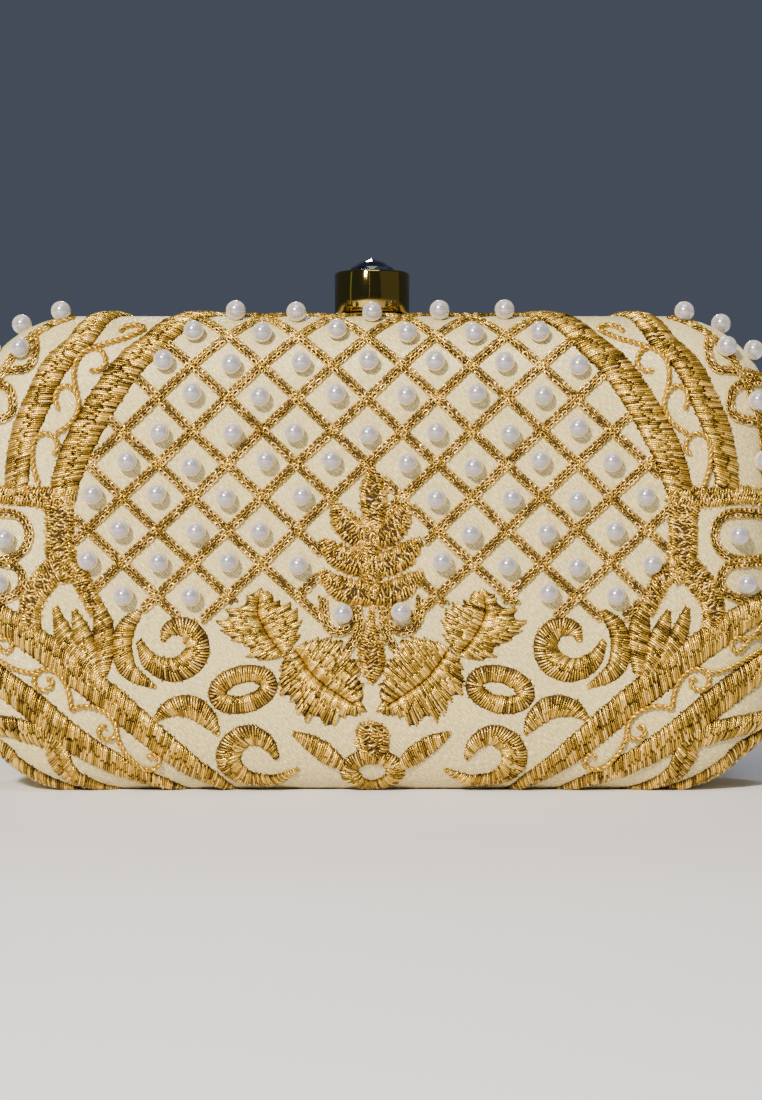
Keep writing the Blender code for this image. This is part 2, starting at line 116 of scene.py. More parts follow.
WAVE_PERIOD = math.tau / 20  # length of one band of the wave texture at scale 1
CLOTH_UNIT = 10 * MM  # one unit of the cloth's UV map


# ================================================================ settings


def length_property(name, description, millimetres):
    return bpy.props.FloatProperty(
        name=name, description=description, default=millimetres * MM, unit="LENGTH"
    )


class BagSizes(bpy.types.PropertyGroup):
    """Sizes of the threads, beads and trim."""

    pearl_diameter: length_property("Pearl diameter", "Diameter of each bead", 4.5)
    thread_diameter: length_property("Thread diameter", "Diameter of the gold embroidery thread", 0.48)
    stitch_spacing: length_property("Stitch spacing", "Distance between two satin stitches", 0.5)
    cord_diameter: length_property("Cord diameter", "Diameter of the laid cord of the scrolls", 1.25)
    link_length: length_property("Chain link step", "Distance between two chain stitches", 1.3)
    link_width: length_property("Chain link width", "Width of a link between its threads", 0.85)
    lattice_across: length_property("Lattice width", "Width of one diamond of the lattice", 15.45)
    lattice_up: length_property("Lattice height", "Height of one diamond of the lattice", 14.6)


def linear(code):
    """An sRGB hex code as linear red, green, blue and alpha."""
    parts = [int(code[k : k + 2], 16) / 255 for k in (1, 3, 5)]
    return (*(c / 12.92 if c <= 0.04045 else ((c + 0.055) / 1.055) ** 2.4 for c in parts), 1.0)


def colour_property(name, description, code):
    return bpy.props.FloatVectorProperty(
        name=name, description=description, default=linear(code), size=4, min=0, max=1, subtype="COLOR"
    )


class BagColours(bpy.types.PropertyGroup):
    """Colours of the bag and of its stage."""

    satin: colour_property("Satin", "Ivory satin of the covers", "#F5E19E")
    thread: colour_property("Thread", "Gold embroidery thread on its crowns", "#DEB442")
    # painted highlight: mixed into the thread's colour as bright glints
    glint: colour_property("Thread glint", "The brightest turns of the thread's film", "#FFDD84")
    # painted shade: the thread's colour down in its needle holes, and the colour of the padding and chain
    # cores that stand for shade between stitches
    thread_shade: colour_property("Thread shade", "The thread down in its needle holes", "#2E1B06")
    pearl: colour_property("Pearl", "Lacquer of the beads", "#ACA7AC")
    # painted reflection: the beads' colour towards their rims, lighter as the surface turns from the eye
    pearl_rim_sheen: colour_property("Pearl rim", "Lacquer of the beads seen aslant", "#FBF3E4")
    plate: colour_property("Gold plate", "Pale gold plate of the frame", "#E3C58B")
    knob: colour_property("Knob plate", "Champagne plate of the knob", "#9C8645")
    steel: colour_property("Steel", "Nickel-plated steel of the lock", "#BFC0C2")
    stone: colour_property("Stone", "Foiled glass of the button's stone", "#05080F")
    # painted glint: the lighter colour of a few facets chosen at random
    facet_glint: colour_property("Stone flash", "The lighter facets of the stone", "#2C3C5C")
    lining: colour_property("Lining", "Champagne lining cloth", "#DCCBAE")
    board: colour_property("Board", "Moulded board of the shells", "#B9AE98")
    table: colour_property("Table", "Pale table top", "#F1F1F4")
    wall: colour_property("Room", "Dim slate light of the room", "#606978")


def sizes():
    return bpy.context.scene.bag_sizes


def colours():
    return bpy.context.scene.bag_colours


# ================================================================ the cover's surface


def section_table(steps=60):
    """The cover's section from the face's edge round to the rim.

    Gives the run along the cloth, the inset from the outline, the depth from the parting plane,
    and the outward direction as its parts along inset and depth.
    """
    rows = []
    edge_reach = FACE_DEPTH - EDGE_DEPTH
    for k in range(steps + 1):
        angle = math.radians(90) * (1 - k / steps)
        across = max(math.cos(angle), 0.0) ** (2 / EDGE_POWER)
        along = math.sin(angle) ** (2 / EDGE_POWER)
        lean_in = across ** (EDGE_POWER - 1) / FACE_INSET
        lean_deep = along ** (EDGE_POWER - 1) / edge_reach
        size = math.hypot(lean_in, lean_deep)
        inset, depth = FACE_INSET * (1 - across), EDGE_DEPTH + edge_reach * along
        rows.append((inset, depth, lean_in / size, lean_deep / size))
    for share in np.linspace(0, 1, steps // 3 + 1):
        rows.append(bulge_row(BULGE_DEPTH + (RIM_DEPTH - BULGE_DEPTH) * share))
    table = np.array(rows)
    run = line_run(table)
    return {"run": run, **dict(zip(("inset", "depth", "lean_in", "lean_deep"), table.T))}


def bulge_row(depth):
    """One row of the rolled rim, behind the widest line."""
    reach = (BULGE_DEPTH - depth) / (BULGE_DEPTH - RIM_DEPTH)
    slope = 2 * RIM_INSET * reach / (BULGE_DEPTH - RIM_DEPTH)
    size = math.hypot(1, slope)
    return RIM_INSET * reach**2, depth, 1 / size, -slope / size


def line_run(rows):
    """The distance along a line at each of its rows."""
    gaps = np.hypot(np.diff(rows[:, 0]), np.diff(rows[:, 1]))
    return np.concatenate([[0.0], np.cumsum(gaps)])


SECTION = section_table()
SIDE_RUN = float(np.interp(EDGE_DEPTH, SECTION["depth"][::-1], SECTION["run"][::-1]))
CLOTH_RUN = float(SECTION["run"][-1])
SIDE_START = CORE_X + TIGHTEST_CORNER + 0.4 * SIDE_RUN


def past_core(u, v):
    """How far a place lies past the core of the face each way, in the part that turns the corner."""
    return np.maximum(np.abs(u) - CORE_X, 0), np.maximum(np.abs(v) - CORE_Z, 0)


def crown(x, v):
    """How far the padded face swells at a place."""
    return CROWN * (np.clip(1 - (x / CORE_X) ** 2, 0, 1) * np.clip(1 - (v / CORE_Z) ** 2, 0, 1))


def on_cover(u, v, lift=0.0, side=FRONT):
    """Points of a cover, and its outward directions, from places on the cloth laid flat."""
    u, v, lift = np.broadcast_arrays(np.asarray(u, float), np.asarray(v, float), np.asarray(lift, float))
    reach_u, reach_v = past_core(u, v)
    far = np.hypot(reach_u, reach_v)
    way_u = np.sign(u) * reach_u / np.maximum(far, 1e-9)
    way_v = np.sign(v) * reach_v / np.maximum(far, 1e-9)
    run = np.clip(far - TIGHTEST_CORNER, 0, CLOTH_RUN)
    inset, depth, lean_in, lean_deep = (
        np.interp(run, SECTION["run"], SECTION[key]) for key in ("inset", "depth", "lean_in", "lean_deep")
    )
    radius = np.where(far < TIGHTEST_CORNER, far, CORNER_RADIUS - inset)
    x = np.sign(u) * np.minimum(np.abs(u), CORE_X) + way_u * radius
    z = MIDDLE_Z + np.sign(v) * np.minimum(np.abs(v), CORE_Z) + way_v * radius
    outward = np.stack([way_u * lean_in, side * lean_deep, way_v * lean_in], -1)
    outward /= np.maximum(np.linalg.norm(outward, axis=-1, keepdims=True), 1e-9)
    points = np.stack([x, side * (depth + crown(u, v)), z], -1)
    room = (z - PRESSED) / np.maximum(-outward[..., 2], 1e-6)
    lift = np.where(outward[..., 2] < 0, np.minimum(lift, room), lift)
    return points + outward * lift[..., None], outward


def unrolled(x, v, run):
    """Where a place seen from the front lies on the flat cloth, at a run past the face's edge."""
    reach_x, reach_v = past_core(x, v)
    radius = math.hypot(reach_x, reach_v)
    stretch = (TIGHTEST_CORNER + run) / radius if radius > TIGHTEST_CORNER else 1.0
    u = math.copysign(min(abs(x), CORE_X) + reach_x * stretch, x)
    return u, math.copysign(min(abs(v), CORE_Z) + reach_v * stretch, v)


def laid_flat(across, height):
    """Where a point of the drawing, in millimetres on the face's plane, lies on the flat cloth.

    The drawing shows the front as the eye sees it, so it is thrown onto the rounded edge from the eye.
    """
    depth = FACE_DEPTH
    front = SECTION["depth"] >= EDGE_DEPTH
    for _ in range(8):
        scale = (EYE_DISTANCE - depth) / (EYE_DISTANCE - FACE_DEPTH)
        x = across * MM * scale
        v = EYE_HEIGHT + (height * MM - EYE_HEIGHT) * scale - MIDDLE_Z
        inset = CORNER_RADIUS - math.hypot(*past_core(x, v))
        run = float(np.interp(-inset, -SECTION["inset"][front], SECTION["run"][front])) + max(-inset, 0)
        depth = float(np.interp(run, SECTION["run"], SECTION["depth"]))
    return unrolled(x, v, run)


def short_of_rim(rows, spare=1.2 * MM):
    """The rows of a line that lie on the cover's cloth, a little short of its rim."""
    return rows[np.hypot(*past_core(rows[:, 0], rows[:, 1])) < TIGHTEST_CORNER + CLOTH_RUN - spare]


def run_over_side(rows):
    """Carries each end of a line that is drawn out to the bag's side on round the edge, up to the rim."""
    for _ in range(2):
        rows = rows[::-1]
        if abs(rows[0][0]) > SIDE_START:
            rows = run_over_edge(rows)
    return short_of_rim(np.array(rows))


def run_over_edge(rows, reach=22 * MM):
    """Carries the start of a line on round the cover's edge, past the rim."""
    first, second = np.array(rows[0]), np.array(rows[1])
    way = first[:2] - second[:2]
    way *= reach / np.linalg.norm(way)
    return [(first[0] + way[0], first[1] + way[1], first[2]), *rows]


def smooth_path(rows, step, closed=False):
    """Rows of (u, v, width) joined by a smooth curve and sampled evenly."""
    rows = np.array(rows, float)
    if closed:
        rows = np.vstack([rows[-1], rows, rows[0], rows[1]])
    else:
        rows = np.vstack([2 * rows[0] - rows[1], rows, 2 * rows[-1] - rows[-2]])
    t = np.linspace(0, 1, 16, endpoint=False)[:, None]
    dense = []
    for a, b, c, d in zip(rows, rows[1:], rows[2:], rows[3:]):
        bend = (2 * a - 5 * b + 4 * c - d) * t**2 + (3 * b - a - 3 * c + d) * t**3
        dense.append(0.5 * (2 * b + (c - a) * t + bend))
    dense.append(rows[-2][None])
    return even_rows(np.vstack(dense), step)


def even_rows(rows, step):
    """The same line with evenly spaced rows."""
    rows = np.array(rows, float)
    run = line_run(rows)
    count = max(int(round(run[-1] / step)), 2)
    at = np.linspace(0, run[-1], count + 1)
    return np.stack([np.interp(at, run, rows[:, k]) for k in range(rows.shape[1])], -1)


def drawn(points, mirror=1):
    """Drawn rows of (across, height, width) in millimetres, laid on the flat cloth in metres."""
    rows = []
    for across, height, *width in points:
        u, v = laid_flat(across, height)
        rows.append((mirror * u, v, (width[0] if width else 1.0) * MM))
    return rows


# ================================================================ meshes and pieces


def add_object(name, mesh, finish=None):
    piece = bpy.data.objects.new(name, mesh)
    bpy.context.collection.objects.link(piece)
    if finish:
        set_finish(piece, finish)
    return piece


def set_finish(piece, finish):
    """Gives a piece or a carried-over node its finish."""
    piece.data.materials.clear()
    piece.data.materials.append(material(finish))


def add_mesh(name, points, faces, finish, smooth_angle=None):
    mesh = bpy.data.meshes.new(name)
    mesh.from_pydata([tuple(p) for p in points], [], faces)
    mesh.validate()
    mesh.shade_smooth()
    if smooth_angle is not None:
        mesh.set_sharp_from_angle(angle=math.radians(smooth_angle))
    return add_object(name, mesh, finish)


def add_vectors(mesh, **layers):
    """Keeps a direction for each point of a mesh under a name."""
    for name, vectors in layers.items():
        layer = mesh.attributes.new(name, "FLOAT_VECTOR", "POINT")
        layer.data.foreach_set("vector", np.vstack(vectors).ravel())


def ring_faces(rings, count, closed=False, flip=False):
    """Quads between rings of equal count, numbered ring after ring."""
    faces = []
    for k in range(rings if closed else rings - 1):
        here, there = k * count, (k + 1) % rings * count
        for i in range(count):
            j = (i + 1) % count
            quad = (here + i, here + j, there + j, there + i)
            faces.append(quad[::-1] if flip else quad)
    return faces


def grid_faces(rows, columns, start=0):
    """Quads over a grid of points, numbered row after row."""
    corners = [start + r * columns + c for r in range(rows - 1) for c in range(columns - 1)]
    return [(a, a + 1, a + columns + 1, a + columns) for a in corners]


def outline_angles(arc_steps=14, long_steps=18, short_steps=9):
    """The outline anticlockwise from the right side: core points, each with the way its radius goes."""
    places = []
    corners = ((1, 1), (-1, 1), (-1, -1), (1, -1))
    for quarter, (way_x, way_z) in enumerate(corners):
        for step in range(arc_steps):
            angle = math.radians(90) * (quarter + step / arc_steps)
            places.append((way_x * CORE_X, way_z * CORE_Z, math.cos(angle), math.sin(angle)))
        next_x, next_z = corners[(quarter + 1) % 4]
        steps = long_steps if next_z == way_z else short_steps
        angle = math.radians(90) * (quarter + 1)
        for step in range(steps):
            share = step / steps
            core_x = (way_x + (next_x - way_x) * share) * CORE_X
            core_z = (way_z + (next_z - way_z) * share) * CORE_Z
            places.append((core_x, core_z, math.cos(angle), math.sin(angle)))
    return np.array(places)


OUTLINE = outline_angles()


def outline_ring(inset, depth, side):
    """The outline drawn in by an inset at a depth."""
    radius = CORNER_RADIUS - inset
    x = OUTLINE[:, 0] + OUTLINE[:, 2] * radius
    z = MIDDLE_Z + OUTLINE[:, 1] + OUTLINE[:, 3] * radius
    return np.stack([x, np.full_like(x, side * depth), z], -1)


def bowl_surface(below, start_depth, side, face_steps=7):
    """Rings of one bowl-shaped surface from the rim over the face, and the middle point of its crown."""
    rings = [outline_ring(rim_inset(below, start_depth), start_depth, side)]
    for k in range(len(SECTION["run"]) - 1, -1, -3):
        inset = SECTION["inset"][k] + below * SECTION["lean_in"][k]
        depth = SECTION["depth"][k] - below * SECTION["lean_deep"][k]
        if depth > start_depth + 0.2 * MM:
            rings.append(outline_ring(inset, depth, side))
    for k in range(1, face_steps + 1):
        share = 1 - k / face_steps
        x = OUTLINE[:, 0] * share + OUTLINE[:, 2] * TIGHTEST_CORNER * share
        z = OUTLINE[:, 1] * share + OUTLINE[:, 3] * TIGHTEST_CORNER * share
        rings.append(np.stack([x, side * (FACE_DEPTH - below + crown(x, z)), z + MIDDLE_Z], -1))
    middle = rings.pop()[:1]
    return rings, middle


def rim_inset(below, start_depth):
    """The inset at which the surface, moved in by below, crosses a plane near the rim."""
    low, high = 2 * RIM_DEPTH - BULGE_DEPTH, BULGE_DEPTH
    for _ in range(40):
        middle = (low + high) / 2
        _, depth, _, lean_deep = bulge_row(middle)
        if depth - below * lean_deep < start_depth:
            low = middle
        else:
            high = middle
    inset, _, lean_in, _ = bulge_row(high)
    return inset + below * lean_in


def make_bowl(name, below, thickness, start_depth, side, finish):
    """A closed layer: outer surface, rolled rim and inner surface, with its cloth's flat places as UV."""
    outer, outer_middle = bowl_surface(below, start_depth, side)
    inner, inner_middle = bowl_surface(below + thickness, start_depth, side)
    rings = outer[::-1] + inner
    count = len(OUTLINE)
    points = np.vstack(rings + [outer_middle, inner_middle])
    faces = ring_faces(len(rings), count, flip=side == FRONT)
    middle = len(rings) * count
    last_ring = middle - count
    for i in range(count):
        j = (i + 1) % count
        for fan in ((middle, j, i), (middle + 1, last_ring + i, last_ring + j)):
            faces.append(fan[::-1] if side == FRONT else fan)
    bowl = add_mesh(name, points, faces, finish, smooth_angle=50)
    turn_outwards(bowl.data)
    lay_cloth_uv(bowl.data, side)
    return bowl


def turn_outwards(mesh):
    """Turns every face of a closed mesh outwards, if the whole is inside out."""
    volume = 0.0
    places = np.empty(len(mesh.vertices) * 3)
    mesh.vertices.foreach_get("co", places)
    places = places.reshape(-1, 3)
    for face in mesh.polygons:
        corners = places[list(face.vertices)]
        for k in range(1, len(corners) - 1):
            volume += np.dot(corners[0], np.cross(corners[k], corners[k + 1]))
    if volume < 0:
        mesh.flip_normals()


def lay_cloth_uv(mesh, side):
    """Lays the cloth's UV map, measured over the rounded edge."""
    layer = mesh.uv_layers.new(name="cloth")
    flat = []
    for vertex in mesh.vertices:
        run = float(np.interp(-side * vertex.co.y, -SECTION["depth"], SECTION["run"]))
        u, v = unrolled(vertex.co.x, vertex.co.z - MIDDLE_Z, run)
        flat.append((u / CLOTH_UNIT, v / CLOTH_UNIT))
    for loop in mesh.loops:
        layer.data[loop.index].uv = flat[loop.vertex_index]


def add_turned(name, profile, centre_y, steps, finish, closed=False, smooth_angle=30):
    """A (radius, height) profile turned about an upright axis on the middle plane."""
    angles = [math.tau * k / steps for k in range(steps)]
    points = []
    for radius, height in profile:
        points += [(radius * math.cos(a), centre_y + radius * math.sin(a), height) for a in angles]
    faces = ring_faces(len(profile), steps, closed)
    if not closed:
        faces += end_faces(len(points), steps)
    piece = add_mesh(name, points, faces, finish, smooth_angle)
    turn_outwards(piece.data)
    return piece


def end_faces(count, steps):
    """The faces that close the first and the last ring."""
    return [tuple(reversed(range(steps))), tuple(range(count - steps, count))]


def ride(piece, body="front_half", slot="front_satin", *nodes):
    """Gives a finished piece its body and hides the nodes it stands for; its slot is not used."""
    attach(piece, body)
    if nodes:
        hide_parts(*nodes)
    return piece


# ================================================================ geometry nodes


def add_step(tree, kind, inputs=None, **settings):
    """Adds a node, sets its properties, and fills or links its inputs by name or number."""
    step = tree.nodes.new(kind)
    for key, value in settings.items():
        setattr(step, key, value)
    for key, value in (inputs or {}).items():
        socket = step.inputs[key]
        if isinstance(value, bpy.types.Node):
            value = first_output(value)
        if isinstance(value, bpy.types.NodeSocket):
            tree.links.new(value, socket)
        else:
            socket.default_value = value
    return step


def first_output(step):
    return next(output for output in step.outputs if output.enabled)


def new_tree(name, lengths, numbers):
    """A geometry tree, and its inputs: a guide, named lengths and whole numbers, and a material."""
    tree = bpy.data.node_groups.new(name, "GeometryNodeTree")
    kinds = {"Guide": "Geometry", **dict.fromkeys(lengths, "Float"), **dict.fromkeys(numbers, "Int")}
    kinds["Material"] = "Material"
    for label, kind in kinds.items():
        tree.interface.new_socket(label, in_out="INPUT", socket_type="NodeSocket" + kind)
    tree.interface.new_socket("Result", in_out="OUTPUT", socket_type="NodeSocketGeometry")
    return tree, tree.nodes.new("NodeGroupInput").outputs


def end_tree(tree, given, geometry):
    """Realize, then the material, then out."""
    real = add_step(tree, "GeometryNodeRealizeInstances", {"Geometry": geometry})
    painted = add_step(
        tree, "GeometryNodeSetMaterial", {"Geometry": real, "Material": given["Material"]}
    )
    add_step(tree, "NodeGroupOutput", {"Result": painted})
    return tree


def round_thread(tree, line, radius, sides, caps=True):
    """A smooth round thread along a curve."""
    ring = add_step(tree, "GeometryNodeCurvePrimitiveCircle", {"Resolution": sides, "Radius": radius})
    inputs = {"Curve": line, "Profile Curve": ring, "Fill Caps": caps}
    tube = add_step(tree, "GeometryNodeCurveToMesh", inputs)
    return add_step(tree, "GeometryNodeSetShadeSmooth", {"Geometry": tube})


def thread_tree():
    """Round threads along every line of the guide."""
    tree, given = new_tree("thread", ["Radius"], ["Sides"])
    lines = add_step(tree, "GeometryNodeMeshToCurve", {"Mesh": given["Guide"]})
    return end_tree(tree, given, round_thread(tree, lines, given["Radius"], given["Sides"]))


def chain_tree():
    """Chain-stitch links along every line of the guide, lying on the cloth."""
    tree, given = new_tree("chain_stitch", ["Step", "Link Width", "Thread Radius"], ["Seed"])
    lines = add_step(tree, "GeometryNodeMeshToCurve", {"Mesh": given["Guide"]})
    spots = add_step(
        tree, "GeometryNodeResampleCurve", {"Curve": lines, "Length": given["Step"]}, mode="LENGTH"
    )
    inputs = {0: given["Link Width"], 1: 0.5, 2: given["Thread Radius"]}
    reach = add_step(tree, "ShaderNodeMath", inputs, operation="MULTIPLY_ADD")
    loop = add_step(tree, "GeometryNodeCurvePrimitiveCircle", {"Resolution": 7, "Radius": reach})
    link = round_thread(tree, loop, given["Thread Radius"], 4, caps=False)
    oval = add_step(tree, "GeometryNodeTransform", {"Geometry": link, "Scale": (1.0, 0.62, 1.0)})
    tangent = add_step(tree, "GeometryNodeInputTangent")
    return place_stitches(tree, given, spots, oval, tangent, LINK_TILT, (0.85, 1.12))


def scatter_tree():
    """Short stitches strewn over the guide's surface, lying roughly along its given direction."""
    tree, given = new_tree("strewn_stitches", ["Spacing", "Length", "Thread Radius"], ["Seed"])
    inputs = {
        "Mesh": given["Guide"],
        "Distance Min": given["Spacing"],
        "Density Max": 6.0 / MM**2,
        "Seed": given["Seed"],
    }
    spots = add_step(
        tree, "GeometryNodeDistributePointsOnFaces", inputs, distribute_method="POISSON"
    )
    half = add_step(tree, "ShaderNodeMath", {0: given["Length"], 1: 0.5}, operation="MULTIPLY")
    back = add_step(tree, "ShaderNodeMath", {0: half, 1: -1.0}, operation="MULTIPLY")
    start = add_step(tree, "ShaderNodeCombineXYZ", {"X": back, "Z": -0.3 * MM})
    middle = add_step(tree, "ShaderNodeCombineXYZ", {"Z": 0.75 * MM})
    end = add_step(tree, "ShaderNodeCombineXYZ", {"X": half, "Z": -0.3 * MM})
    inputs = {"Resolution": 4, "Start": start, "Middle": middle, "End": end}
    arch = add_step(tree, "GeometryNodeCurveQuadraticBezier", inputs)
    stitch = round_thread(tree, arch, given["Thread Radius"], 4)
    along = add_step(tree, "GeometryNodeInputNamedAttribute", {"Name": "along"}, data_type="FLOAT_VECTOR")
    return place_stitches(tree, given, spots, stitch, along, STITCH_TILT, (0.75, 1.2))


def place_stitches(tree, given, spots, stitch, direction, tilt, span):
    """A stitch on every spot, lying on the cloth along a direction, with a seeded tilt, size and tone."""
    seed = given["Seed"]
    up = add_step(tree, "GeometryNodeInputNamedAttribute", {"Name": "outward"}, data_type="FLOAT_VECTOR")
    upright = add_step(tree, "FunctionNodeAlignRotationToVector", {"Vector": up}, axis="Z")
    inputs = {"Rotation": upright, "Vector": direction}
    turned = add_step(tree, "FunctionNodeAlignRotationToVector", inputs, axis="X", pivot_axis="Z")
    inputs = {0: tilt[0], 1: tilt[1], "Seed": seed}
    wobble = add_step(tree, "FunctionNodeRandomValue", inputs, data_type="FLOAT_VECTOR")
    inputs = {"Rotation": turned, "Rotate By": wobble}
    tilted = add_step(tree, "FunctionNodeRotateRotation", inputs, rotation_space="LOCAL")
    inputs = {2: span[0], 3: span[1], "Seed": seed}
    size = add_step(tree, "FunctionNodeRandomValue", inputs, data_type="FLOAT")
    inputs = {"Points": spots, "Instance": stitch, "Rotation": tilted, "Scale": size}
    placed = add_step(tree, "GeometryNodeInstanceOnPoints", inputs)
    tone = add_step(tree, "FunctionNodeRandomValue", {2: 0.2, 3: 1.0, "Seed": seed}, data_type="FLOAT")
    inputs = {"Geometry": placed, "Name": "tone", "Value": tone}
    toned = add_step(
        tree, "GeometryNodeStoreNamedAttribute", inputs, data_type="FLOAT", domain="INSTANCE"
    )
    return end_tree(tree, given, toned)


def bead_tree():
    """A round bead on every point of the guide."""
    tree, given = new_tree("beads", ["Radius"], ["Seed"])
    inputs = {"Segments": 28, "Rings": 16, "Radius": given["Radius"]}
    bead = add_step(tree, "GeometryNodeMeshUVSphere", inputs)
    soft = add_step(tree, "GeometryNodeSetShadeSmooth", {"Geometry": bead})
    inputs = {0: (0.0, 0.0, 0.0), 1: (math.tau, math.tau, math.tau), "Seed": given["Seed"]}
    spin = add_step(tree, "FunctionNodeRandomValue", inputs, data_type="FLOAT_VECTOR")
    inputs = {"Points": given["Guide"], "Instance": soft, "Rotation": spin}
    return end_tree(tree, given, add_step(tree, "GeometryNodeInstanceOnPoints", inputs))


def add_guide(name, lines, outward=None, tones=None):
    """A guide mesh of lines, with the outward direction and a tone on its points where they are given."""
    edges = []
    start = 0
    for line in lines:
        edges += [(start + k, start + k + 1) for k in range(len(line) - 1)]
        start += len(line)
    mesh = bpy.data.meshes.new(name + "_guide")
    mesh.from_pydata(np.vstack(lines).tolist(), edges, [])
    if outward is not None:
        add_vectors(mesh, outward=outward)
    if tones is not None:
        layer = mesh.attributes.new("tone", "FLOAT", "POINT")
        layer.data.foreach_set("value", np.concatenate(tones))
    return add_object(name + "_guide", mesh)


def grow(name, guide, tree, finish, inputs):
    """Runs a tree on a guide and keeps the result as a plain mesh piece."""
    inputs["Material"] = material(finish)
    modifier = guide.modifiers.new("grow", "NODES")
    modifier.node_group = tree
    for item in tree.interface.items_tree:
        if item.in_out == "INPUT" and item.name in inputs:
            modifier[item.identifier] = inputs[item.name]
    guide.update_tag()
    seen = guide.evaluated_get(bpy.context.evaluated_depsgraph_get())
    mesh = bpy.data.meshes.new_from_object(seen)
    mesh.name = name
    guide.modifiers.clear()
    bpy.data.objects.remove(guide, do_unlink=True)
    return add_object(name, mesh)


def grow_threads(name, lines, tones, finish, radius, sides):
    """Round threads along lines of points, as one piece."""
    guide = add_guide(name, lines, tones=tones)
    return grow(name, guide, thread_tree(), finish, {"Radius": radius, "Sides": sides})


# ================================================================ materials


def shade(colour, factor):
    """A darker or lighter neighbour of a linear colour."""
    return (*(min(part * factor, 1.0) for part in colour[:3]), 1.0)


def new_material(name, **settings):
    """A material with its shader's own sockets set, and its tree."""
    made = bpy.data.materials.new(name)
    made.use_nodes = True
    tree = made.node_tree
    for key, value in settings.items():
        tree.nodes["Principled BSDF"].inputs[socket_name(key)].default_value = value
    return made, tree


def socket_name(key):
    return key.replace("_", " ").title().replace("Ior", "IOR")


def feed(tree, **steps):
    """Links nodes to the shader's sockets."""
    for key, step in steps.items():
        tree.links.new(first_output(step), tree.nodes["Principled BSDF"].inputs[socket_name(key)])


def metallised_thread():
    """Gold embroidery thread: a core wrapped in metallised film.

    It glints in short bright runs on its crowns, as a painted highlight colour, and goes dark brown down in
    the needle holes, as painted shade.
    """
    made, tree = new_material("metallised_gold_thread", metallic=0.82)
    place = add_step(tree, "ShaderNodeTexCoord").outputs["Object"]
    inputs = {"Vector": place, "Scale": 1 / (0.4 * MM), "Detail": 3.0, "Roughness": 0.7}
    fine = add_step(tree, "ShaderNodeTexNoise", inputs)
    broad = add_step(tree, "ShaderNodeTexNoise", {"Vector": place, "Scale": 1 / (3 * MM), "Detail": 2.0})
    tone = add_step(tree, "ShaderNodeAttribute", attribute_name="tone").outputs["Fac"]
    mottled = add_step(tree, "ShaderNodeMath", {0: fine, 1: 0.7, 2: tone}, operation="MULTIPLY_ADD")
    patchy = add_step(tree, "ShaderNodeMath", {0: broad, 1: 0.5, 2: mottled}, operation="MULTIPLY_ADD")
    # painted shade: low tone at the needle holes mixes the thread towards the dark shade colour
    share = add_step(tree, "ShaderNodeMapRange", {"Value": patchy, 1: 0.62, 2: 1.4})
    inputs = {"Factor": share, 6: colours().thread_shade, 7: colours().thread}
    wrapped = add_step(tree, "ShaderNodeMix", inputs, data_type="RGBA")
    # painted highlight: where tone and noise peak, the glint colour is mixed in
    glint_share = add_step(tree, "ShaderNodeMapRange", {"Value": patchy, 1: 1.3, 2: 1.65})
    inputs = {"Factor": glint_share, 6: wrapped, 7: colours().glint}
    base = add_step(tree, "ShaderNodeMix", inputs, data_type="RGBA")
    gloss = add_step(tree, "ShaderNodeMapRange", {"Value": fine, 1: 0.35, 2: 0.65, 3: 0.12, 4: 0.38})
    bump = add_step(tree, "ShaderNodeBump", {"Height": fine, "Strength": 0.7, "Distance": 0.14 * MM})
    feed(tree, base_color=base, roughness=gloss, normal=bump)
    return made


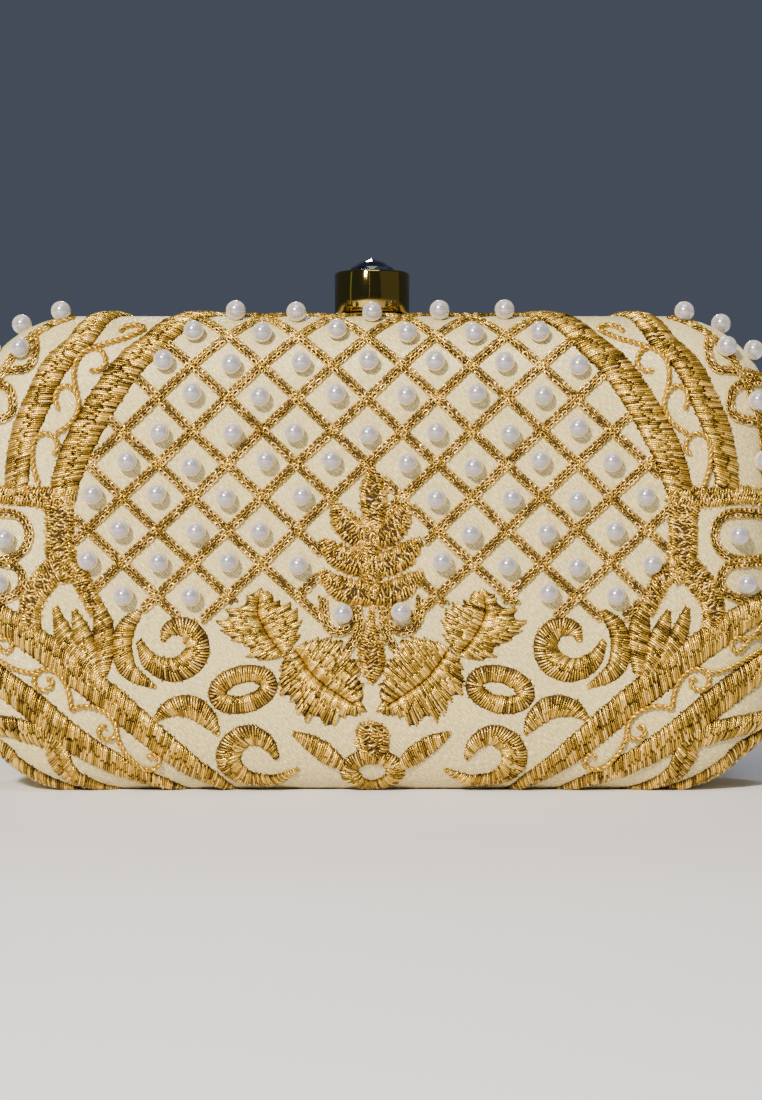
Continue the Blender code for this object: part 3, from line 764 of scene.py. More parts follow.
def duchess_satin():
    """Ivory duchess satin: long floats over a fine diagonal twill, for a broad gloss, with small sparks that
    are painted highlights.

    The real twill is about 0.25 mm from rib to rib; it is drawn at 0.55 mm, the finest that shows.
    """
    made, tree = new_material("ivory_duchess_satin", sheen_weight=0.25, sheen_roughness=0.35)
    place = add_step(tree, "ShaderNodeUVMap", uv_map="cloth")
    satin = colours().satin
    inputs = {"Vector": place, "Rotation": (0.0, 0.0, math.radians(42)), "Scale": (1.0, 3.0, 1.0)}
    along_twill = add_step(tree, "ShaderNodeMapping", inputs, vector_type="TEXTURE")
    inputs = {"Vector": along_twill, "Scale": CLOTH_UNIT / (0.4 * MM), "Detail": 2.0, "Roughness": 0.7}
    floats = add_step(tree, "ShaderNodeTexNoise", inputs)
    inputs = {
        "Vector": along_twill,
        "Scale": CLOTH_UNIT / (0.55 * MM) * WAVE_PERIOD,
        "Distortion": 1.2,
        "Detail": 1.0,
    }
    ribs = add_step(tree, "ShaderNodeTexWave", inputs, bands_direction="X").outputs["Fac"]
    inputs = {"Factor": ribs, 6: shade(satin, 0.66), 7: satin}
    ribbed = add_step(tree, "ShaderNodeMix", inputs, data_type="RGBA")
    float_share = add_step(tree, "ShaderNodeMapRange", {"Value": floats, 1: 0.36, 2: 0.62})
    inputs = {"Factor": float_share, 6: shade(satin, 0.48), 7: ribbed}
    laid = add_step(tree, "ShaderNodeMix", inputs, data_type="RGBA")
    # painted highlight: small sparkle spots a quarter lighter than the satin
    sparkle_highlight_share = add_step(tree, "ShaderNodeMapRange", {"Value": floats, 1: 0.6, 2: 0.72})
    inputs = {"Factor": sparkle_highlight_share, 6: laid, 7: shade(satin, 1.25)}
    sparkle_highlight = add_step(tree, "ShaderNodeMix", inputs, data_type="RGBA")
    inputs = {"Vector": place, "Scale": CLOTH_UNIT / (9 * MM), "Detail": 2.0}
    cloudy = add_step(tree, "ShaderNodeTexNoise", inputs)
    cloud_share = add_step(tree, "ShaderNodeMapRange", {"Value": cloudy, 1: 0.35, 2: 0.75, 4: 0.3})
    inputs = {"Factor": cloud_share, 6: sparkle_highlight, 7: shade(satin, 0.85)}
    base = add_step(tree, "ShaderNodeMix", inputs, data_type="RGBA")
    gloss = add_step(tree, "ShaderNodeMapRange", {"Value": floats, 1: 0.35, 2: 0.65, 3: 0.48, 4: 0.28})
    height = add_step(tree, "ShaderNodeMath", {0: ribs, 1: floats}, operation="ADD")
    bump = add_step(tree, "ShaderNodeBump", {"Height": height, "Strength": 0.75, "Distance": 0.09 * MM})
    feed(tree, base_color=base, roughness=gloss, normal=bump)
    return made


def lining_cloth():
    """Champagne polyester lining: a plain weave, smooth and a little shiny, its threads drawn at 0.6 mm."""
    made, tree = new_material("champagne_lining_cloth", roughness=0.5, sheen_weight=0.15)
    place = add_step(tree, "ShaderNodeTexCoord").outputs["Object"]
    lining = colours().lining
    threads = {"Vector": place, "Scale": WAVE_PERIOD / (0.6 * MM), "Distortion": 0.4}
    warp = add_step(tree, "ShaderNodeTexWave", threads, bands_direction="X").outputs["Fac"]
    weft = add_step(tree, "ShaderNodeTexWave", threads, bands_direction="Z").outputs["Fac"]
    weave = add_step(tree, "ShaderNodeMath", {0: warp, 1: weft}, operation="MULTIPLY")
    cloudy = add_step(tree, "ShaderNodeTexNoise", {"Vector": place, "Scale": 1 / (18 * MM), "Detail": 2.0})
    inputs = {"Factor": weave, 6: shade(lining, 0.78), 7: lining}
    woven = add_step(tree, "ShaderNodeMix", inputs, data_type="RGBA")
    cloud_share = add_step(tree, "ShaderNodeMapRange", {"Value": cloudy, 1: 0.3, 2: 0.7, 4: 0.8})
    inputs = {"Factor": cloud_share, 6: woven, 7: shade(lining, 0.9)}
    base = add_step(tree, "ShaderNodeMix", inputs, data_type="RGBA")
    bump = add_step(tree, "ShaderNodeBump", {"Height": weave, "Strength": 0.3, "Distance": 0.08 * MM})
    feed(tree, base_color=base, normal=bump)
    return made


def polished_plate(name, colour, rough, haze):
    """Polished electroplate over brass: mirror-like, with faint buffing lines and handling haze."""
    made, tree = new_material(name, metallic=1.0)
    place = add_step(tree, "ShaderNodeTexCoord").outputs["Object"]
    buffed = add_step(tree, "ShaderNodeMapping", {"Vector": place, "Scale": (1.0, 1.0, 14.0)})
    inputs = {"Vector": buffed, "Scale": 1 / (3 * MM), "Detail": 4.0, "Roughness": 0.7}
    lines = add_step(tree, "ShaderNodeTexNoise", inputs)
    smears = add_step(tree, "ShaderNodeTexNoise", {"Vector": place, "Scale": 1 / (9 * MM), "Detail": 3.0})
    smear_share = add_step(tree, "ShaderNodeMapRange", {"Value": smears, 1: 0.35, 2: 0.75})
    inputs = {"Factor": smear_share, 6: colour, 7: shade(colour, 0.86)}
    base = add_step(tree, "ShaderNodeMix", inputs, data_type="RGBA")
    mixed = add_step(tree, "ShaderNodeMath", {0: lines, 1: smears}, operation="MULTIPLY")
    inputs = {"Value": mixed, 1: 0.1, 2: 0.5, 3: rough, 4: rough + haze}
    gloss = add_step(tree, "ShaderNodeMapRange", inputs)
    bump = add_step(tree, "ShaderNodeBump", {"Height": lines, "Strength": 0.04, "Distance": 0.02 * MM})
    feed(tree, base_color=base, roughness=gloss, normal=bump)
    return made


def glass_pearl():
    """Glass pearl: a bead dipped in pearl lacquer, silvery all round under a clear, mirroring coat, with a
    painted reflection that lightens it towards its rim.
    """
    clear_coat = {"coat_weight": 1.0, "coat_roughness": 0.07, "coat_ior": 1.7}
    made, tree = new_material("lacquered_glass_pearl", metallic=0.35, roughness=0.25, **clear_coat)
    place = add_step(tree, "ShaderNodeTexCoord").outputs["Object"]
    pearl = colours().pearl
    edge = add_step(tree, "ShaderNodeLayerWeight", {"Blend": 0.4}).outputs["Facing"]
    drift = add_step(tree, "ShaderNodeTexNoise", {"Vector": place, "Scale": 1 / (2.5 * MM), "Detail": 2.0})
    drift_share = add_step(tree, "ShaderNodeMapRange", {"Value": drift, 1: 0.35, 2: 0.65})
    inputs = {"Factor": drift_share, 6: pearl, 7: shade(pearl, 0.88)}
    body = add_step(tree, "ShaderNodeMix", inputs, data_type="RGBA")
    # painted reflection: the lacquer lightens towards the rim as the bead turns from the eye
    rim_sheen_share = add_step(tree, "ShaderNodeMapRange", {"Value": edge, 1: 0.12, 2: 0.6})
    inputs = {"Factor": rim_sheen_share, 6: body, 7: colours().pearl_rim_sheen}
    base = add_step(tree, "ShaderNodeMix", inputs, data_type="RGBA")
    feed(tree, base_color=base)
    return made


def foiled_stone():
    """Cut glass with a foiled back: almost black, with a few facets painted steel blue as glints."""
    clear_coat = {"coat_weight": 1.0, "coat_roughness": 0.01}
    made, tree = new_material("foiled_cut_glass", roughness=0.04, metallic=0.3, **clear_coat)
    # painted glint: a facet attribute picks which facets take the lighter colour
    facet_glint = add_step(tree, "ShaderNodeAttribute", attribute_name="facet_glint").outputs["Fac"]
    place = add_step(tree, "ShaderNodeTexCoord").outputs["Object"]
    depth = add_step(tree, "ShaderNodeTexNoise", {"Vector": place, "Scale": 1 / (1.2 * MM), "Detail": 1.0})
    share = add_step(tree, "ShaderNodeMath", {0: facet_glint, 1: depth}, operation="MULTIPLY")
    inputs = {"Factor": share, 6: colours().stone, 7: colours().facet_glint}
    base = add_step(tree, "ShaderNodeMix", inputs, data_type="RGBA")
    feed(tree, base_color=base)
    return made


def matt_finish(name, roughness, colour, dark, light, grain, detail, breakup=0.5):
    """A matt surface, mottled between two shades of a colour by flecks of the grain's size."""
    made, tree = new_material(name, roughness=roughness)
    place = add_step(tree, "ShaderNodeTexCoord").outputs["Object"]
    inputs = {"Vector": place, "Scale": 1 / grain, "Detail": detail, "Roughness": breakup}
    flecks = add_step(tree, "ShaderNodeTexNoise", inputs)
    inputs = {"Factor": flecks, 6: shade(colour, dark), 7: shade(colour, light)}
    base = add_step(tree, "ShaderNodeMix", inputs, data_type="RGBA")
    feed(tree, base_color=base)
    return made


def spun_thread():
    """Spun polyester sewing thread in the lining's colour, a shade darker, with a faint twist."""
    return matt_finish("spun_lining_thread", 0.6, colours().lining, 0.5, 0.85, 0.3 * MM, 1.0)


def painted_shade_padding():
    """Felt padding under the stitches: matt, its dark brown a painted shade where it shows between them."""
    return matt_finish("felt_padding_painted_shade", 0.9, colours().thread_shade, 0.6, 1.6, 0.4 * MM, 3.0, 0.6)


def moulded_board():
    """Moulded fibre board of the shells: matt, with coarse flecks."""
    return matt_finish("moulded_fibre_board", 0.85, colours().board, 0.75, 1.0, 1.5 * MM, 4.0, 0.6)


def table_top():
    """Painted table top: nearly white, matt, with the faintest mottling."""
    return matt_finish("painted_table_top", 0.6, colours().table, 0.97, 1.0, 30 * MM, 3.0)


MAKERS = {
    "thread": metallised_thread,
    "satin": duchess_satin,
    "lining": lining_cloth,
    "lining_thread": spun_thread,
    "frame": lambda: polished_plate("pale_gold_plate", colours().plate, 0.12, 0.16),
    "knob": lambda: polished_plate("champagne_mirror_plate", colours().knob, 0.04, 0.06),
    "steel": lambda: polished_plate("nickel_plated_steel", colours().steel, 0.25, 0.2),
    "pearl": glass_pearl,
    "stone": foiled_stone,
    "board": moulded_board,
    "padding": painted_shade_padding,
    "table": table_top,
}
MATERIALS = {}


def material(finish):
    """Makes each material once, when it is first asked for."""
    if finish not in MATERIALS:
        MATERIALS[finish] = MAKERS[finish]()
    return MATERIALS[finish]


# ================================================================ the drawing, in millimetres
# Each row is across from the middle line, height and width. One side is drawn and mirrored.

SATIN_BANDS = {
    "inner_band": [
        (42, 104.5, 6), (48.5, 99.5, 6.2), (54, 94.4, 6.6), (59.8, 86, 6.8), (64.2, 78, 6.8),
        (66.6, 72, 6.4), (68.4, 65.5, 5.6),
    ],
    "outer_band": [
        (60, 105, 5.6), (64.5, 100, 5.8), (70, 94.5, 6), (73.6, 87.2, 6.2), (76.6, 80, 6.2),
        (78.1, 72.6, 6), (78.6, 66.5, 5.2),
    ],
    "upper_sweep": [
        (87.5, 43, 6), (82, 38.9, 6.2), (73, 32.8, 6.4), (63.8, 25.7, 6.4), (54.7, 18.4, 6.2),
        (47.4, 12.2, 5.8), (39.9, 6.3, 5.2), (34.4, 3.2, 4), (29.5, 1.4, 1.8),
    ],
    "lower_sweep": [
        (87.5, 30, 6), (82, 25, 6.2), (74.8, 19.5, 6.4), (67.5, 13.3, 6.2), (60, 8.5, 5.8),
        (52.7, 4.9, 5), (45, 2.4, 3.4), (38, 1.2, 1.4),
    ],
    "corner_blade": [
        (88, 18.5, 4.6), (82.1, 15.3, 5), (76, 13.8, 5.2), (71, 12, 5.2), (69, 8, 5.4), (66.4, 4.4, 4.6),
        (61, 2.2, 3.4), (54, 1.4, 1.4),
    ],
    "corner_strip": [
        (88, 14.6, 4.6), (82.1, 10.4, 5), (78, 6.8, 4.8), (73.3, 4, 4.4), (67, 1.9, 2.8), (61, 1.2, 1.2),
    ],
}

STEM_SHAPES = {
    "collar": [(87, 65.4, 3), (82, 66.2, 3.6), (76, 65.8, 4), (70.5, 65.6, 4.4), (65.4, 66.2, 2.6)],
    "stem": [(70, 66, 6), (68.8, 61, 6.2), (68.9, 55.4, 6), (68.2, 50.4, 6.4), (66.6, 47.4, 3)],
    "outer_branch": [(68.4, 51.5, 5), (72.2, 47.4, 5.6), (75, 43, 5.2), (75.5, 38.4, 4.6), (74.4, 35, 3)],
    "inner_branch": [(68.4, 50.6, 5), (64.9, 48.2, 4), (62.4, 44.2, 3.8), (60.9, 40.3, 3)],
}

SCROLL_SHAPES = {
    "outer_lobe": [(69.9, 41.4, 1.2), (68.4, 36.3, 3.6), (65.3, 30.8, 4.2), (61.1, 25.7, 2)],
    "middle_lobe": [(65.7, 40.6, 1.2), (64, 35.2, 4.4), (62.2, 29.7, 4.6), (60, 25.3, 2)],
    "inner_lobe": [(60.7, 43, 1.6), (59.4, 37.4, 4.6), (58.9, 31.9, 4.4), (59.1, 26.4, 2)],
    "crescent": [(51.2, 40.6, 1.4), (54.3, 36.8, 4), (55.1, 31.9, 4.4), (53.4, 27.4, 4), (47.8, 23.7, 0.9)],
    "comma": [
        (51.4, 33.8, 1.4), (49, 29.4, 3.8), (44.2, 27.4, 5.2), (39.8, 29.4, 5.8), (38.6, 33.6, 5.4),
        (41.2, 36.8, 4.6), (44.6, 36.4, 3.4), (46, 34, 1),
    ],
    "bird_leaf": [(48.2, 16.2, 0.8), (44.2, 19, 4), (39.6, 19.2, 5.2), (36, 16.8, 4), (33.9, 13.4, 0.9)],
    "foot_scroll": [
        (20.9, 8.1, 1), (22.9, 11.4, 3.4), (26.9, 13.2, 4.6), (30.8, 10.9, 5.4), (31.3, 6.9, 5.6),
        (27.7, 3.8, 4.6), (22, 3.3, 3.8), (16.2, 5.6, 0.8),
    ],
    "base_leaf": [(17.4, 13.5, 0.8), (14, 11.6, 3.6), (11, 9.7, 4.4), (8.2, 7.7, 4), (6, 6.2, 2)],
}

WING_SHAPES = {
    "top_wing": [(0, 56.9, 4.8), (3.6, 58, 5.8), (6.4, 60.8, 5), (8.2, 64.2, 1.4)],
    "middle_wing": [(0, 50.6, 5), (4, 51.2, 5.4), (7.8, 53.2, 4.8), (10.9, 56.2, 1.2)],
    "bottom_wing": [(0, 44.2, 4.8), (4, 44.6, 5.2), (7.8, 46.2, 4.6), (11.2, 49.2, 1.2)],
}

MIDDLE_SHAPES = {
    "bud": [(0.4, 72, 0.8), (0.4, 69.4, 4), (0.4, 66, 5.8), (0.4, 62, 5), (0.4, 58, 3.4)],
    "spine": [(0, 59, 3.6), (0, 54, 4.4), (0, 48, 4.4), (0, 43.6, 3.6)],
    "petal": [(0, 41.5, 0.9), (0, 38, 1.4), (0, 35, 3.6), (0, 31.2, 5.8), (0, 27.6, 4.4), (0, 24.6, 0.8)],
    "berry": [(0.2, 16, 2), (0.2, 14.8, 5.6), (0.2, 12.3, 7.2), (0.2, 9.9, 5.6), (0.2, 9, 2.6)],
}

# Rings: centre, reach across and up, tilt in degrees, width of the band
EYE_RING = ((28.4, 23.2), (5.9, 3.3), -14, 3.9)
BASE_RING = ((0.2, 5.3), (5.1, 3.1), 0, 4.0)

LATTICE_BOTTOM = 38.5
LOWEST_PEARL = 41.5
LATTICE_MIDDLE = (-1.0, 87.6)
LATTICE_FOOT = [(36, 54), (43, 62), (52, 67), (65, 69)]  # half-width of the lattice at heights below the band

# Leaf blades: a midrib, and the toothed edge on each side of it, all from the base to the tip
LEAVES = {
    "big_leaf": {
        "midrib": [(17.1, 32.3), (12.9, 26.4), (8.1, 22.6), (1.3, 18.5)],
        "upper": [
            (17.1, 32.3), (14, 33.8), (10.6, 34.5), (6.9, 34), (6.6, 31.6), (4.3, 30), (2.4, 28.4),
            (3, 25.6), (1.7, 23.2), (2.4, 20.9), (1.3, 18.5),
        ],
        "lower": [
            (17.1, 32.3), (19.6, 29.7), (20.2, 25.6), (20, 22.4), (18, 22), (16.8, 19.2), (14.3, 16.2),
            (12.8, 18.1), (10.6, 16.2), (8.4, 15.2), (7.4, 17.4), (4.4, 17.3), (1.3, 18.5),
        ],
    },
    "outer_leaf": {
        "midrib": [(19.3, 30.8), (22.9, 35.2), (25.1, 40.3), (24.4, 45.4)],
        "upper": [
            (19.3, 30.8), (16.4, 34.1), (15.8, 39), (18, 42.4), (20, 41.2), (21.8, 43.8), (24.4, 45.4),
        ],
        "lower": [
            (19.3, 30.8), (22.9, 29.7), (27.3, 30.6), (26.9, 32.8), (29.9, 33.9), (32.6, 36), (34, 38.2),
            (30.8, 38.8), (32, 40.8), (28.4, 41.2), (27.2, 43.8), (24.4, 45.4),
        ],
    },
}

SCROLL_CORDS = [
    [(55.6, 102), (54.2, 103), (51.6, 103.3), (50.2, 102.5), (53.8, 100.8), (58.2, 99.5), (61, 98.7)],
    [
        (62.2, 93.6), (60.4, 93.5), (58.7, 95.1), (59.3, 97.4), (61.5, 98.4), (64.2, 97), (65.6, 94.2),
        (65.6, 91), (65, 88.4),
    ],
    [
        (69.2, 85), (69.8, 87.2), (69.2, 89.4), (67.3, 90.2), (65.3, 88.6), (64.6, 86), (65.7, 83),
        (67.6, 81), (69.6, 79.8),
    ],
    [
        (70.3, 75.1), (69.3, 76.4), (69.9, 78.8), (72.2, 79.8), (74.3, 78.4), (74.8, 75.2), (74.5, 71.8),
        (73.4, 68.4),
    ],
    [
        (87, 33), (83, 30.2), (78.4, 27.7), (74.8, 26.9), (72.6, 27.6), (70, 27.3), (67.8, 24.8),
        (66.7, 21.8), (66.3, 18.8),
    ],
    [(73, 27.5), (74.4, 25.8), (74, 23.7), (72.2, 23), (70.7, 23.9), (70.5, 25.2), (71.6, 25.6)],
    [
        (66.3, 18.8), (64, 19.5), (61.6, 19.3), (59.2, 18.4), (57.2, 16.6), (56.4, 14.4), (57, 12.8),
        (58.8, 12.3), (60.2, 13.4), (60, 14.9), (58.6, 15.1),
    ],
    [(56.4, 14.4), (55.9, 12), (54, 8.8), (51, 6.2), (48.2, 5.9), (46.8, 7.2), (47.8, 8.8), (49.5, 8.6)],
    [(87, 35), (83, 34.6), (80, 34.3), (79.2, 32.7), (80.6, 31.4), (81.8, 32.5)],
]

CHAIN_LINES = [
    [(2.5, 39), (3, 35.9), (4.6, 33), (6.4, 30.6)],
    [(10.8, 43.4), (10.2, 38.2), (7.6, 35.9), (4.4, 37), (2.9, 39.6), (3.4, 41.8)],
    [(87, 61.8), (80.5, 62.2), (77, 60.9), (75.6, 57.3), (77.2, 53.6), (81, 51.8), (87, 52.2)],
    [(87, 51.4), (79.6, 50.8), (77, 48), (78.2, 44.6), (82, 42.8)],
    [(86, 91.2), (80.8, 90.2), (79.2, 87), (80.2, 83.6), (86, 82)],
    [(74.6, 101.6), (74.2, 98), (75.8, 94.2), (79.4, 93.6)],
    [(66, 105.2), (72.6, 102.6), (78, 98), (82, 92), (84.6, 85.6), (86.2, 78), (86.8, 66)],
]

SIDE_PEARLS = [
    (80.2, 57), (81.6, 47), (84.2, 86.4), (85.3, 73.5), (77.2, 98), (77, 103.4), (68.6, 104.9), (83, 97),
]
BASE_PEARLS = [(6.8, 40)]


# ================================================================ making the embroidery


def cross_ways(rows, slant):
    """For rows along a line, the direction of a stitch that crosses it, leaning by the slant."""
    along = np.gradient(rows[:, :2], axis=0)
    along /= np.maximum(np.linalg.norm(along, axis=1, keepdims=True), 1e-9)
    left = np.stack([-along[:, 1], along[:, 0]], -1)
    return left + along * slant


def padding_height(share, top, flatness=2):
    """How high the padding stands at a share of the way across a shape."""
    return top * (1 - np.abs(2 * share - 1) ** flatness) ** 0.7


def pad_grid(rows, slant, rise):
    """Places and heights of the raised padding under a band of stitches."""
    rows = even_rows(rows, 0.8 * MM)
    share = np.array([0.0, 0.2, 0.5, 0.8, 1.0])
    reach = rows[:, 2:3] * (share - 0.5)
    spots = rows[:, None, :2] + cross_ways(rows, slant)[:, None] * reach[..., None]
    top = np.minimum(rise, PAD_FULLNESS * rows[:, 2])[:, None] - 0.12 * MM
    return spots, padding_height(share, top) + 0.04 * MM


def closed_strip(spots, lift):
    """A thin closed pad over a grid of cloth places, with its underside just in the cloth."""
    upper, _ = on_cover(spots[..., 0], spots[..., 1], lift)
    lower, _ = on_cover(spots[..., 0], spots[..., 1], PAD_UNDERSIDE)
    rows, columns = spots.shape[:2]
    under = rows * columns
    faces = []
    for quad in grid_faces(rows, columns):
        faces += [quad, tuple(under + k for k in reversed(quad))]
    border = list(range(columns))
    border += [r * columns + columns - 1 for r in range(1, rows)]
    border += [(rows - 1) * columns + c for c in range(columns - 2, -1, -1)]
    border += [r * columns for r in range(rows - 2, 0, -1)]
    for here, there in zip(border, border[1:] + border[:1]):
        faces.append((there, here, under + here, under + there))
    if runs_clockwise(spots):
        faces = [face[::-1] for face in faces]
    return np.vstack([upper.reshape(-1, 3), lower.reshape(-1, 3)]), faces


def runs_clockwise(spots):
    """True where the quads of a grid on the flat cloth run clockwise, so that they face into the bag."""
    down = np.diff(spots, axis=0)[:, :-1]
    across = np.diff(spots, axis=1)[:-1]
    return (across[..., 0] * down[..., 1] - across[..., 1] * down[..., 0]).sum() < 0


def rail_point(rows, share):
    """The place at a share of the way along an evenly spaced line."""
    at = share * (len(rows) - 1)
    low = min(int(at), len(rows) - 2)
    return rows[low, :2] + (rows[low + 1, :2] - rows[low, :2]) * (at - low)


class Needlework:
    """A group of shapes being sewn: its threads with their tones, and the padding under them."""

    def __init__(self, name, seed):
        self.name = name
        self.chance = random.Random(seed)
        self.lines, self.tones, self.pads = [], [], []

    def waver(self, amount=1.0):
        """A random amount either way."""
        return amount * self.chance.uniform(-1, 1)

    def stitch(self, spots, lift, dullest):
        """One stitch through five places, with painted shade at its needle holes, where its tone is 0."""
        self.lines.append(on_cover(spots[:, 0], spots[:, 1], lift)[0])
        bright = self.chance.uniform(dullest, 1.0)
        # tone 0 at both ends paints shade into the needle holes
        self.tones.append(np.array([0.0, bright, bright, bright, 0.0]))

    def cross(self, start, end, length, top, flatness, spread):
        """A stitched row from start to end, in parts that dive into the cloth between them."""
        parts = max(round(length / LONGEST_STITCH + self.chance.uniform(-spread, spread)), 1)
        breaks = [(k + self.waver(0.3)) / parts for k in range(1, parts)]
        marks = [0.0, *breaks, 1.0]
        for low, high in zip(marks, marks[1:]):
            share = low + (high - low) * STITCH_SHARES
            spots = start + (end - start) * share[:, None]
            arch = STITCH_ARCH * (1 + self.waver(0.25))
            self.stitch(spots, padding_height(share, top, flatness) + arch - HOLE_DEPTH, 0.15)

    def band(self, path, step, slant, rise):
        """Satin stitches across a line that has a width, over padding."""
        rows = even_rows(path, step)
        for centre, across, width in zip(rows[:, :2], cross_ways(rows, slant), rows[:, 2]):
            half = width / 2 * (1 + self.waver(0.07)) + self.waver(0.12 * MM)
            tilt = self.waver(0.12 * MM)
            ends = centre - across * half + tilt, centre + across * half - tilt
            self.cross(*ends, width, min(rise, PAD_FULLNESS * width), 2, 0.3)
        self.pads.append(pad_grid(path, slant, rise))

    def blade(self, midrib, edge, step, rise):
        """Stitches from a midrib to a toothed edge, over padding. Returns the padding's places."""
        inner, outer = even_rows(midrib, 0.3 * MM), even_rows(edge, 0.3 * MM)
        edge_run = float(line_run(outer)[-1])
        count = max(int((float(line_run(inner)[-1]) + edge_run) / 2 / step), 8)
        share = np.array([0.0, 0.15, 0.5, 0.85, 1.0])
        spots, heights = [], []
        for k in range(count):
            t = k / (count - 1)
            root = rail_point(inner, max(t * 0.96 - 0.02, 0))
            tip = rail_point(outer, min(max(t + self.waver(0.006), 0), 1))
            reach = float(np.linalg.norm(tip - root))
            tooth = LEAF_TOOTH * ((t * edge_run / TOOTH_STEP) % 1 - 0.45) * min(reach / (4 * MM), 1)
            tip = tip + (tip - root) / max(reach, 1e-6) * tooth
            top = min(rise, 0.15 * MM + 0.2 * reach)
            self.cross(root, tip, reach, top, 4, 0.4)
            if k % 3 == 0 or k == count - 1:
                spots.append(root + (tip - root) * share[:, None])
                heights.append(padding_height(share, top, 4) - 0.08 * MM)
        self.pads.append((np.array(spots), np.array(heights)))
        return self.pads[-1][0].reshape(-1, 2)

    def edging(self, rows, step, rise):
        """Short leaning stitches from both borders of a shape towards its middle."""
        rows = even_rows(rows, step)
        for centre, across, width in zip(rows[:, :2], cross_ways(rows, 0.35), rows[:, 2]):
            reach = min(EDGE_STITCH * (1 + self.waver(0.3)), width / 2)
            for side in (-1, 1):
                outer = side * (width / 2 + self.waver(0.15 * MM))
                marks = outer - side * reach * STITCH_SHARES
                share = np.clip(0.5 + marks / max(width, 1e-6), 0, 1)
                lift = padding_height(share, min(rise, PAD_FULLNESS * width)) + 1.3 * STITCH_ARCH
                self.stitch(centre + across * marks[:, None], lift, 0.2)

    def finish(self):
        """Makes the threads and the padding under them."""
        self.sew()
        self.pad()

    def sew(self, suffix=""):
        """Makes the threads."""
        radius = sizes().thread_diameter / 2
        ride(grow_threads(self.name + suffix, self.lines, self.tones, "thread", radius, 5))

    def strew(self, seed):
        """Covers the padding with short stitches in changing directions."""
        points, faces, outward, along = [], [], [], []
        for spots, lift in self.pads:
            places, ways = on_cover(spots[..., 0], spots[..., 1], lift)
            faces += grid_faces(*spots.shape[:2], start=len(points))
            points += places.reshape(-1, 3).tolist()
            outward.append(ways.reshape(-1, 3))
            along.append(np.gradient(places, axis=1).reshape(-1, 3))
        mesh = bpy.data.meshes.new(self.name + "_guide")
        mesh.from_pydata(points, [], faces)
        add_vectors(mesh, outward=outward, along=along)
        radius = sizes().thread_diameter / 2
        inputs = {"Spacing": 0.6 * MM, "Length": 1.5 * MM, "Thread Radius": radius, "Seed": seed}
        ride(grow(self.name, add_object(self.name + "_guide", mesh), scatter_tree(), "thread", inputs))

    def pad(self):
        """Makes the padding, whose dark colour is painted shade in the gaps."""
        points, faces = [], []
        for strip_points, strip_faces in (closed_strip(*pad) for pad in self.pads):
            faces += [tuple(len(points) + k for k in face) for face in strip_faces]
            points += strip_points.tolist()
        ride(add_mesh(self.name + "_pad", points, faces, "padding"))


class Footprint:
    """Places on the cloth that embroidery already covers."""

    def __init__(self):
        self.spots = []

    def add(self, rows):
        self.spots += [(float(u), float(v), float(w) / 2) for u, v, w in rows]

    def close(self):
        self.tree = kdtree.KDTree(len(self.spots))
        for index, (u, v, _) in enumerate(self.spots):
            self.tree.insert((u, v, 0), index)
        self.tree.balance()

    def covers(self, u, v, margin):
        near = self.tree.find_n((u, v, 0), 4)
        return any(distance < self.spots[index][2] + margin for _, index, distance in near)


footprint = Footprint()


def sew_shapes(name, shapes, slant, rise, seed, over_edge=False):
    """Sews a group of shapes given by a line and its width, on both sides."""
    work = Needlework(name, seed)
    for rows in shapes.values():
        for mirror in BOTH_SIDES:
            places = drawn(rows, mirror)
            path = smooth_path(run_over_edge(places) if over_edge else places, 0.5 * MM)
            path = short_of_rim(path)
            footprint.add(path)
            work.band(path, sizes().stitch_spacing, mirror * slant, rise)
    work.finish()


def strew_shapes(name, shapes, rise, seed, mirrors=BOTH_SIDES):
    """Fills a group of shapes given by a line and its width with strewn stitches inside an edging."""
    work = Needlework(name, seed)
    for rows in shapes.values():
        for mirror in mirrors:
            path = smooth_path(drawn(rows, mirror), 0.5 * MM)
            footprint.add(path)
            work.pads.append(pad_grid(path, 0.0, rise))
            work.edging(path, sizes().stitch_spacing * 1.25, rise)
    work.strew(seed)
    work.pad()
    work.sew("_edging")


def ring_rows(centre, reach, tilt, width, mirror=1):
    """An oval ring as a closed line with a width."""
    turn = math.radians(tilt)
    rows = []
    for k in range(16):
        angle = math.tau * k / 16
        a, b = reach[0] * math.cos(angle), reach[1] * math.sin(angle)
        across = centre[0] + a * math.cos(turn) - b * math.sin(turn)
        height = centre[1] + a * math.sin(turn) + b * math.cos(turn)
        rows.append((across, height, width))
    return smooth_path(drawn(rows, mirror), 0.5 * MM, closed=True)


def chain_guides():
    """All chain-stitch lines: the two ways of the lattice, and the loops round the outer pearls."""
    loops = []
    for points in CHAIN_LINES:
        for mirror in BOTH_SIDES:
            rows = smooth_path(drawn(points, mirror), CHAIN_STEP)
            loops.append(even_rows(run_over_side(rows), CHAIN_STEP)[:, :2])
    return {"lattice_rising": lattice_lines(1), "lattice_falling": lattice_lines(-1), "chain_loops": loops}


